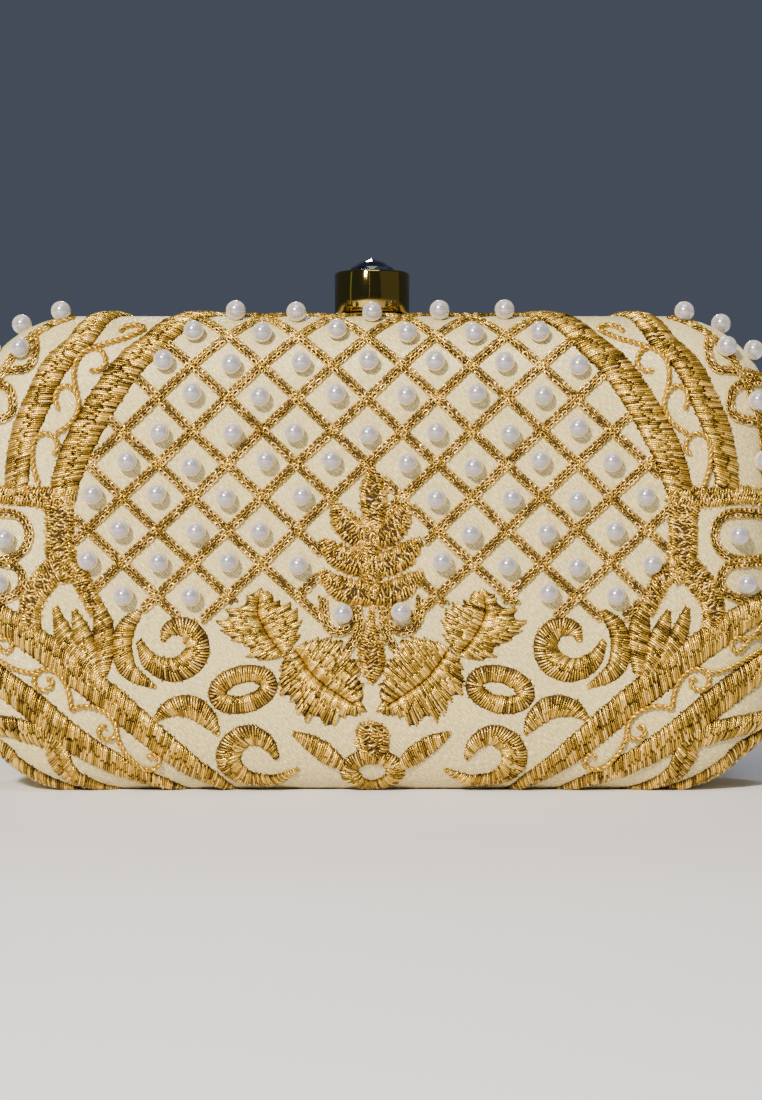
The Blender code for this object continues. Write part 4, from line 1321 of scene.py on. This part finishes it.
def lattice_lines(way):
    """The lines that rise one way across the lattice, cut where other embroidery covers them."""
    half_across, half_up = sizes().lattice_across / 2, sizes().lattice_up / 2
    slope = math.hypot(half_across, half_up)
    middle_u, middle_v = laid_flat(*LATTICE_MIDDLE)
    top = CORE_Z + TIGHTEST_CORNER + CLOTH_RUN - 2 * MM
    bottom = laid_flat(0, LATTICE_BOTTOM)[1]
    lines = []
    for k in range(-14, 15):
        run = []
        for step in np.arange(-9 * slope, 9 * slope, CHAIN_STEP):
            u = middle_u + k * 2 * half_across + way * step * half_across / slope
            v = middle_v + step * half_up / slope
            wobble = 0.18 * MM * math.sin(v / (5 * MM) + 1.7 * k + way)
            inside = bottom < v < top and abs(u) < lattice_limit(v)
            if inside and not footprint.covers(u, v, 0.2 * MM):
                run.append((u + wobble, v))
            else:
                lines.append(run)
                run = []
        lines.append(run)
    return [np.array(run) for run in lines if len(run) > 4]


def lattice_border():
    """The middle line of the inner band on the cloth, from the top down."""
    band = smooth_path(drawn(SATIN_BANDS["inner_band"]), 1 * MM)
    return band[np.argsort(-band[:, 1])]


LATTICE_BORDER = lattice_border()


def lattice_limit(v):
    """Half the lattice's width at a height on the cloth: the inner band, then the stems below it."""
    if v > LATTICE_BORDER[-1, 1]:
        return float(np.interp(-v, -LATTICE_BORDER[:, 1], np.abs(LATTICE_BORDER[:, 0])))
    heights = [laid_flat(0, height)[1] for height, _ in LATTICE_FOOT]
    return float(np.interp(v, heights, [limit * MM for _, limit in LATTICE_FOOT]))


def pearl_places():
    """Where each bead sits on the flat cloth: one in each diamond, and a few along the sides."""
    chance = random.Random(11)
    half_across, half_up = sizes().lattice_across / 2, sizes().lattice_up / 2
    middle_u, middle_v = laid_flat(*LATTICE_MIDDLE)
    top = CORE_Z + TIGHTEST_CORNER + SIDE_RUN
    bottom = laid_flat(0, LOWEST_PEARL)[1]
    radius = sizes().pearl_diameter / 2
    places = []
    for row in range(-6, 6):
        for column in range(-6, 7):
            u = middle_u + (2 * column + row % 2 + 1) * half_across + chance.uniform(-0.6, 1.4) * MM
            v = middle_v + row * half_up + chance.uniform(-0.9, 0.9) * MM
            inside = bottom < v < top and abs(u) <= lattice_limit(v) - radius - 1.5 * MM
            if inside and not footprint.covers(u, v, radius * 0.75):
                places.append((u, v))
    for across, height in SIDE_PEARLS + BASE_PEARLS:
        for mirror in BOTH_SIDES:
            u, v = laid_flat(across, height)
            places.append((mirror * u + chance.uniform(-0.5, 0.5) * MM, v + chance.uniform(-0.5, 0.5) * MM))
    return np.array(places)


# ================================================================ operators


class BAG_OT_stage(bpy.types.Operator):
    """Sets up the table, the room's light, the lamps and the camera"""

    bl_idname = "bag.stage"
    bl_label = "Stage"

    def execute(self, context):
        add_table()
        add_room()
        add_lamp("key_lamp", (-0.42, -1.15, 0.7), (0.12, 0.12), 40.0, "#FFF4E2")
        add_lamp("table_lamp", (0.0, -0.75, 1.5), (0.9, 0.9), 10.0, "#F4F6FF")
        add_lamp("warm_panel", (1.3, -0.75, 0.35), (1.9, 1.6), 1.1, "#FFEFC0")
        add_lamp("window_strip", (-0.2, -1.5, 0.4), (0.022, 1.4), 0.1, "#FFFBEA")
        add_lamp("green_strip", (-1.4, -0.55, 0.4), (0.13, 1.4), 0.3, "#D6DF9A")
        add_lamp("rim_lamp", (-0.1, 0.9, 0.8), (0.14, 0.14), 2.0, "#FFFFFF")
        add_camera()
        return {"FINISHED"}


def add_table():
    half = 3.0
    points = [(-half, -half, 0), (half, -half, 0), (half, half, 0), (-half, half, 0)]
    add_mesh("table", points, [(0, 1, 2, 3)], "table")


def add_room():
    room = bpy.data.worlds.new("room")
    room.use_nodes = True
    light = room.node_tree.nodes["Background"]
    light.inputs["Color"].default_value = colours().wall
    light.inputs["Strength"].default_value = 0.55
    bpy.context.scene.world = room


def add_lamp(name, place, size, power, code):
    """A soft lamp, so wide and so high, that faces the middle of the bag."""
    lamp = bpy.data.lights.new(name, "AREA")
    lamp.shape = "RECTANGLE"
    lamp.size, lamp.size_y = size
    lamp.energy = power
    lamp.color = linear(code)[:3]
    holder = add_object(name, lamp)
    holder.location = place
    aim = Vector((0, 0, MIDDLE_Z)) - Vector(place)
    holder.rotation_euler = aim.to_track_quat("-Z", "Y").to_euler()


def add_camera():
    """A level camera half a metre in front, as the eye of the drawing."""
    camera = bpy.data.cameras.new("camera")
    camera.lens = 75.7
    camera.sensor_width = 36.0
    holder = add_object("camera", camera)
    holder.location = (2.1 * MM, -EYE_DISTANCE, EYE_HEIGHT)
    holder.rotation_euler = (math.radians(90), 0, 0)
    bpy.context.scene.camera = holder


class BAG_OT_covers(bpy.types.Operator):
    """Makes the satin covers of both halves"""

    bl_idname = "bag.covers"
    bl_label = "Covers"

    def execute(self, context):
        for half, side in HALVES:
            cover = make_bowl(half + "_cover_satin", 0, COVER_THICKNESS, RIM_DEPTH, side, "satin")
            ride(cover, half + "_half", half + "_satin", half + "_cover")
        return {"FINISHED"}


class BAG_OT_linings(bpy.types.Operator):
    """Makes the linings inside both halves and gives the shells their finish"""

    bl_idname = "bag.linings"
    bl_label = "Linings"

    def execute(self, context):
        layer = LINING_BELOW, LINING_THICKNESS, LINING_DEPTH
        for half, side in HALVES:
            lining = make_bowl(half + "_lining_cloth", *layer, side, "lining")
            ride(lining, half + "_half", "lining_cloth", half + "_lining")
            set_finish(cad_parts[half + "_shell"], "board")
        make_pocket()
        return {"FINISHED"}


def make_pocket(steps_across=40, steps_up=18):
    """The slip pocket: a stretched cloth that stands a little open at its top, with a sewn hem."""
    low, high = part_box("rear_pocket")
    width, height = high[0] - low[0], high[2] - low[2]
    hem = 4 * MM
    columns = np.linspace(0, 1, steps_across + 1)
    hem_levels = [1 - hem / height * 0.8, 1 - 1.2 * MM / height, 1]
    levels = np.concatenate([np.linspace(0, 1 - hem / height, steps_up), hem_levels])
    points = []
    for share_up in levels:
        for share in columns:
            belly = (1 - (2 * share - 1) ** 4) * share_up**2
            puff = 0.12 * MM * math.sin(9 * math.pi * share) * share_up
            fold = 0.12 * MM if share_up > 1 - hem / height * 0.9 else 0.0
            y = high[1] - 0.36 * MM - (high[1] - low[1] - 0.45 * MM) * belly * 0.5 - puff - fold
            points.append((low[0] + width * share, y, low[2] + height * share_up))
    faces = grid_faces(len(levels), len(columns))
    pocket = add_mesh("pocket_cloth", points, faces, "lining", smooth_angle=60)
    thick = pocket.modifiers.new("cloth_thickness", "SOLIDIFY")
    thick.thickness = 0.3 * MM
    thick.offset = 0
    ride(pocket, "rear_half", "lining_cloth", "rear_pocket")
    lines = hem_stitches(low, high, hem)
    stitches = grow_threads("pocket_hem_stitches", lines, None, "lining_thread", 0.16 * MM, 5)
    ride(stitches, "rear_half", "lining_cloth")


def hem_stitches(low, high, hem):
    """A row of running stitches under the pocket's hem."""
    step = 3 * MM
    y = (low[1] + high[1]) / 2 - 0.25 * MM
    z = high[2] - hem
    lines = []
    for k in range(int((high[0] - low[0]) / step) - 1):
        x = low[0] + (k + 0.8) * step
        inside = y + 0.2 * MM
        lines.append(np.array([(x, inside, z), (x + 1 * MM, y - 0.1 * MM, z), (x + 2 * MM, inside, z)]))
    return lines


class BAG_OT_frames(bpy.types.Operator):
    """Makes the polished rim frames, and gives the hinges and lock their finishes"""

    bl_idname = "bag.frames"
    bl_label = "Frame, hinges and lock"

    def execute(self, context):
        for half, side in HALVES:
            make_frame(half, side)
        for name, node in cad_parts.items():
            if name.startswith(("hinge_leaf", "chain_eye", "catch_rivet", "knob_base")):
                set_finish(node, "frame")
            elif name.startswith(("hinge_pin", "lock_", "catch_fork", "plunger", "latch")):
                set_finish(node, "steel")
        return {"FINISHED"}


def make_frame(half, side):
    """A Z-section ring: a band with softened edges in the groove, a web and a lip."""
    soft = 0.25
    profile = [
        (3.0 + soft, 0.15),
        (3.0, 0.15 + soft),
        (3.0, 4.0 - soft),
        (3.0 + soft, 4.0),
        (7.2, 4.0),
        (7.2, 6.5),
        (8.2, 6.5),
        (8.2, 3.4),
        (4.0, 3.4),
        (4.0, 0.15),
    ]
    rings = [outline_ring(inset * MM, depth * MM, side) for inset, depth in profile]
    faces = ring_faces(len(rings), len(OUTLINE), closed=True)
    ring = add_mesh(half + "_frame_plate", np.vstack(rings), faces, "frame", smooth_angle=30)
    turn_outwards(ring.data)
    ride(ring, half + "_half", "frame_gold", half + "_frame")


class BAG_OT_knob(bpy.types.Operator):
    """Makes the polished knob, the button's bezel and its stone"""

    bl_idname = "bag.knob"
    bl_label = "Knob and stone"

    def execute(self, context):
        make_sleeve()
        make_bezel()
        make_stone()
        make_spring()
        return {"FINISHED"}


def round_box(node):
    """The foot, top, middle and radius of a round upright node."""
    low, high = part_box(node)
    return low[2], high[2], (low[1] + high[1]) / 2, (high[0] - low[0]) / 2


def make_sleeve():
    foot, top, centre_y, radius = round_box("knob_sleeve")
    bore = 6.2 * MM
    profile = [
        (bore, foot),
        (radius - 0.35 * MM, foot),
        (radius - 0.1 * MM, foot + 0.1 * MM),
        (radius, foot + 0.35 * MM),
        (radius, top - 0.5 * MM),
        (radius - 0.08 * MM, top - 0.3 * MM),
        (radius - 0.32 * MM, top - 0.06 * MM),
        (radius - 0.5 * MM, top),
        (bore + 0.55 * MM, top),
        (bore + 0.15 * MM, top - 0.15 * MM),
        (bore, top - 0.5 * MM),
    ]
    turned = add_turned("knob_sleeve_plate", profile, centre_y, 96, "knob", closed=True, smooth_angle=25)
    ride(turned, "rear_half", "knob_gold", "knob_sleeve")


def make_bezel():
    foot, top, centre_y, radius = round_box("button_cap")
    seat = radius - 0.2 * MM
    profile = [
        (radius - 0.4 * MM, foot),
        (radius, foot + 0.4 * MM),
        (radius, top - 0.25 * MM),
        (radius - 0.05 * MM, top),
        (seat, top),
        (seat, foot + 3.4 * MM),
        (seat - 1.4 * MM, foot + 1.6 * MM),
    ]
    turned = add_turned("button_bezel", profile, centre_y, 72, "knob")
    ride(turned, "push_button", "knob_gold", "button_cap")


def make_spring(wire=0.3 * MM, turns=3):
    """The coil under the button, standing on the knob's base; it rides with the button as a rigid piece."""
    foot, top, centre_y, radius = round_box("button_spring")
    reach = radius - wire
    steps = turns * 24
    angles = np.linspace(0, math.tau * turns, steps + 1)
    heights = np.linspace(foot + wire, top - wire, steps + 1)
    line = np.column_stack([reach * np.cos(angles), centre_y + reach * np.sin(angles), heights])
    coil = grow_threads("button_coil", [line], None, "steel", wire, 8)
    ride(coil, "push_button", "lock_steel", "button_spring")
    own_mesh(coil)


def make_stone(sides=12):
    """A stone cut with a low pointed crown: kites and triangles between turned rings."""
    foot, top, centre_y, radius = round_box("crystal")
    girdle = top - 3.3 * MM
    levels = [
        (radius - 1.6 * MM, foot, 0),
        (radius, girdle - 0.8 * MM, 0),
        (radius, girdle, 0),
        (radius * 0.93, girdle + 1.0 * MM, 0.5),
        (radius * 0.56, girdle + 2.3 * MM, 1),
        (radius * 0.08, top, 1.5),
    ]
    points = []
    for reach, height, turned in levels:
        angles = [math.tau * (k + turned) / sides for k in range(sides)]
        points += [(reach * math.cos(a), centre_y + reach * math.sin(a), height) for a in angles]
    faces = end_faces(len(points), sides)
    for k, (here, there) in enumerate(zip(levels, levels[1:])):
        for quad in ring_faces(2, sides):
            a, b, c, d = (k * sides + corner for corner in quad)
            faces += [(a, b, c, d)] if here[2] == there[2] else [(a, b, d), (d, b, c)]
    mesh = bpy.data.meshes.new("button_stone")
    mesh.from_pydata(points, [], faces)
    turn_outwards(mesh)
    chance = random.Random(29)
    # painted glint: a few facets chosen at random take the lighter colour
    facet_glint = mesh.attributes.new("facet_glint", "FLOAT", "FACE")
    facet_glint.data.foreach_set("value", [chance.choice((0.0, 0.1, 0.3, 1.0)) for _ in mesh.polygons])
    ride(add_object("button_stone", mesh, "stone"), "push_button", "crystal", "crystal")


class BAG_OT_satin_bands(bpy.types.Operator):
    """Sews the wide satin-stitch bands and corner blades"""

    bl_idname = "bag.satin_bands"
    bl_label = "Satin bands"

    def execute(self, context):
        sew_shapes("satin_bands", SATIN_BANDS, 0.5, 0.95 * MM, 3, over_edge=True)
        return {"FINISHED"}


class BAG_OT_motifs(bpy.types.Operator):
    """Sews the scrolls, leaves and rings in satin stitch, and fills the stems, wings and bud"""

    bl_idname = "bag.motifs"
    bl_label = "Stems and scrolls"

    def execute(self, context):
        sew_shapes("satin_scrolls", SCROLL_SHAPES, 0.3, 0.9 * MM, 5)
        strew_shapes("filled_stems", STEM_SHAPES, 0.9 * MM, 7)
        strew_shapes("filled_wings", WING_SHAPES, 1.4 * MM, 9)
        strew_shapes("filled_middle", MIDDLE_SHAPES, 1.2 * MM, 11, mirrors=(1,))
        sew_rings()
        return {"FINISHED"}


def sew_rings():
    """Sews the two eye-shaped rings and the ring at the foot of the middle."""
    work = Needlework("rings", 13)
    for rows in (ring_rows(*EYE_RING), ring_rows(*EYE_RING, mirror=-1), ring_rows(*BASE_RING)):
        footprint.add(rows)
        work.band(rows, sizes().stitch_spacing, 0.1, 0.8 * MM)
    work.finish()


class BAG_OT_leaves(bpy.types.Operator):
    """Sews the toothed leaves from midrib to edge"""

    bl_idname = "bag.leaves"
    bl_label = "Leaves"

    def execute(self, context):
        work = Needlework("toothed_leaves", 17)
        for leaf in LEAVES.values():
            for mirror in BOTH_SIDES:
                midrib = smooth_path(drawn(leaf["midrib"], mirror), 0.4 * MM)
                for edge in ("upper", "lower"):
                    outline = np.array(drawn(leaf[edge], mirror))
                    covered = work.blade(midrib, outline, 0.42 * MM, 0.8 * MM)
                    footprint.add([(u, v, 2.4 * MM) for u, v in covered])
        work.finish()
        return {"FINISHED"}


class BAG_OT_scroll_cords(bpy.types.Operator):
    """Lays the fine cords of the vine scrolls"""

    bl_idname = "bag.scroll_cords"
    bl_label = "Scroll cords"

    def execute(self, context):
        lines, tones = [], []
        for points in SCROLL_CORDS:
            for mirror in BOTH_SIDES:
                rows = smooth_path(drawn(points, mirror), 0.25 * MM)
                rows = even_rows(run_over_side(rows), 0.25 * MM)
                lines += twisted_pair(rows, sizes().cord_diameter)
                tones += [np.full(len(rows), 0.55), np.full(len(rows), 0.7)]
        ride(grow_threads("scroll_cords", lines, tones, "thread", sizes().cord_diameter * 0.29, 6))
        return {"FINISHED"}


def twisted_pair(rows, diameter):
    """The two strands of a twisted cord laid on the cloth along a line."""
    middle, outward = on_cover(rows[:, 0], rows[:, 1], diameter * 0.42)
    along = np.gradient(middle, axis=0)
    along /= np.linalg.norm(along, axis=1, keepdims=True)
    aside = np.cross(along, outward)
    run = np.arange(len(rows)) * float(np.linalg.norm(middle[1] - middle[0]))
    strands = []
    for start in (0.0, math.pi):
        turn = (start + math.tau * run / CORD_TWIST)[:, None]
        strands.append(middle + (outward * np.cos(turn) + aside * np.sin(turn)) * diameter * 0.24)
    return strands


class BAG_OT_chain_stitch(bpy.types.Operator):
    """Sews the chain-stitch lattice and the loops round the outer pearls"""

    bl_idname = "bag.chain_stitch"
    bl_label = "Chain stitch"

    def execute(self, context):
        footprint.close()
        for name, rows in chain_guides().items():
            sew_chain(name, rows)
        return {"FINISHED"}


def sew_chain(name, guides):
    """Two rows of links side by side along every line, half a link apart, over a dark core that is painted
    shade in the holes of the links.
    """
    step = sizes().link_length
    lines, outward, shade_cores, tones = [], [], [], []
    for rows in guides:
        rows = even_rows(rows, step / 2)
        aside = cross_ways(rows, 0.0) * CHAIN_APART
        for late, side in enumerate((-1, 1)):
            strand = rows[late:] + side * aside[late:]
            points, ways = on_cover(strand[:, 0], strand[:, 1], 0.42 * MM)
            lines.append(points)
            outward.append(ways)
        # painted shade: a dark thread under the links shows in their holes
        shade_cores.append(on_cover(rows[:, 0], rows[:, 1], -0.2 * MM)[0])
        tones.append(np.full(len(rows), 0.15))
    inputs = {"Step": step, "Link Width": sizes().link_width, "Thread Radius": 0.29 * MM, "Seed": 21}
    ride(grow(name, add_guide(name, lines, outward=outward), chain_tree(), "thread", inputs))
    ride(grow_threads(name + "_core", shade_cores, tones, "padding", 0.7 * MM, 6))


class BAG_OT_pearls(bpy.types.Operator):
    """Sews on the pearls"""

    bl_idname = "bag.pearls"
    bl_label = "Pearls"

    def execute(self, context):
        radius = sizes().pearl_diameter / 2
        places = pearl_places()
        points, _ = on_cover(places[:, 0], places[:, 1], radius * 0.88)
        guide = add_guide("pearls", points[:, None])
        ride(grow("pearls", guide, bead_tree(), "pearl", {"Radius": radius, "Seed": 5}))
        return {"FINISHED"}


# ================================================================ panel and registration

STEPS = (
    BAG_OT_stage,
    BAG_OT_covers,
    BAG_OT_linings,
    BAG_OT_frames,
    BAG_OT_knob,
    BAG_OT_satin_bands,
    BAG_OT_motifs,
    BAG_OT_leaves,
    BAG_OT_scroll_cords,
    BAG_OT_chain_stitch,
    BAG_OT_pearls,
)


class BAG_PT_panel(bpy.types.Panel):
    """Lists the steps that make the bag"""

    bl_idname = "BAG_PT_panel"
    bl_label = "Evening bag"
    bl_space_type = "VIEW_3D"
    bl_region_type = "UI"
    bl_category = "Evening bag"

    def draw(self, context):
        for group in (context.scene.bag_sizes, context.scene.bag_colours):
            for name in group.bl_rna.properties.keys():
                if name not in ("rna_type", "name"):
                    self.layout.prop(group, name)
        for step in STEPS:
            self.layout.operator(step.bl_idname)


CLASSES = (BagSizes, BagColours, *STEPS, BAG_PT_panel)


def register():
    for item in CLASSES:
        bpy.utils.register_class(item)
    bpy.types.Scene.bag_sizes = bpy.props.PointerProperty(type=BagSizes)
    bpy.types.Scene.bag_colours = bpy.props.PointerProperty(type=BagColours)


def unregister():
    del bpy.types.Scene.bag_sizes
    del bpy.types.Scene.bag_colours
    for item in reversed(CLASSES):
        bpy.utils.unregister_class(item)


def main():
    register()
    for step in STEPS:
        getattr(bpy.ops.bag, step.bl_idname.split(".")[1])()


if __name__ == "__main__":
    main()
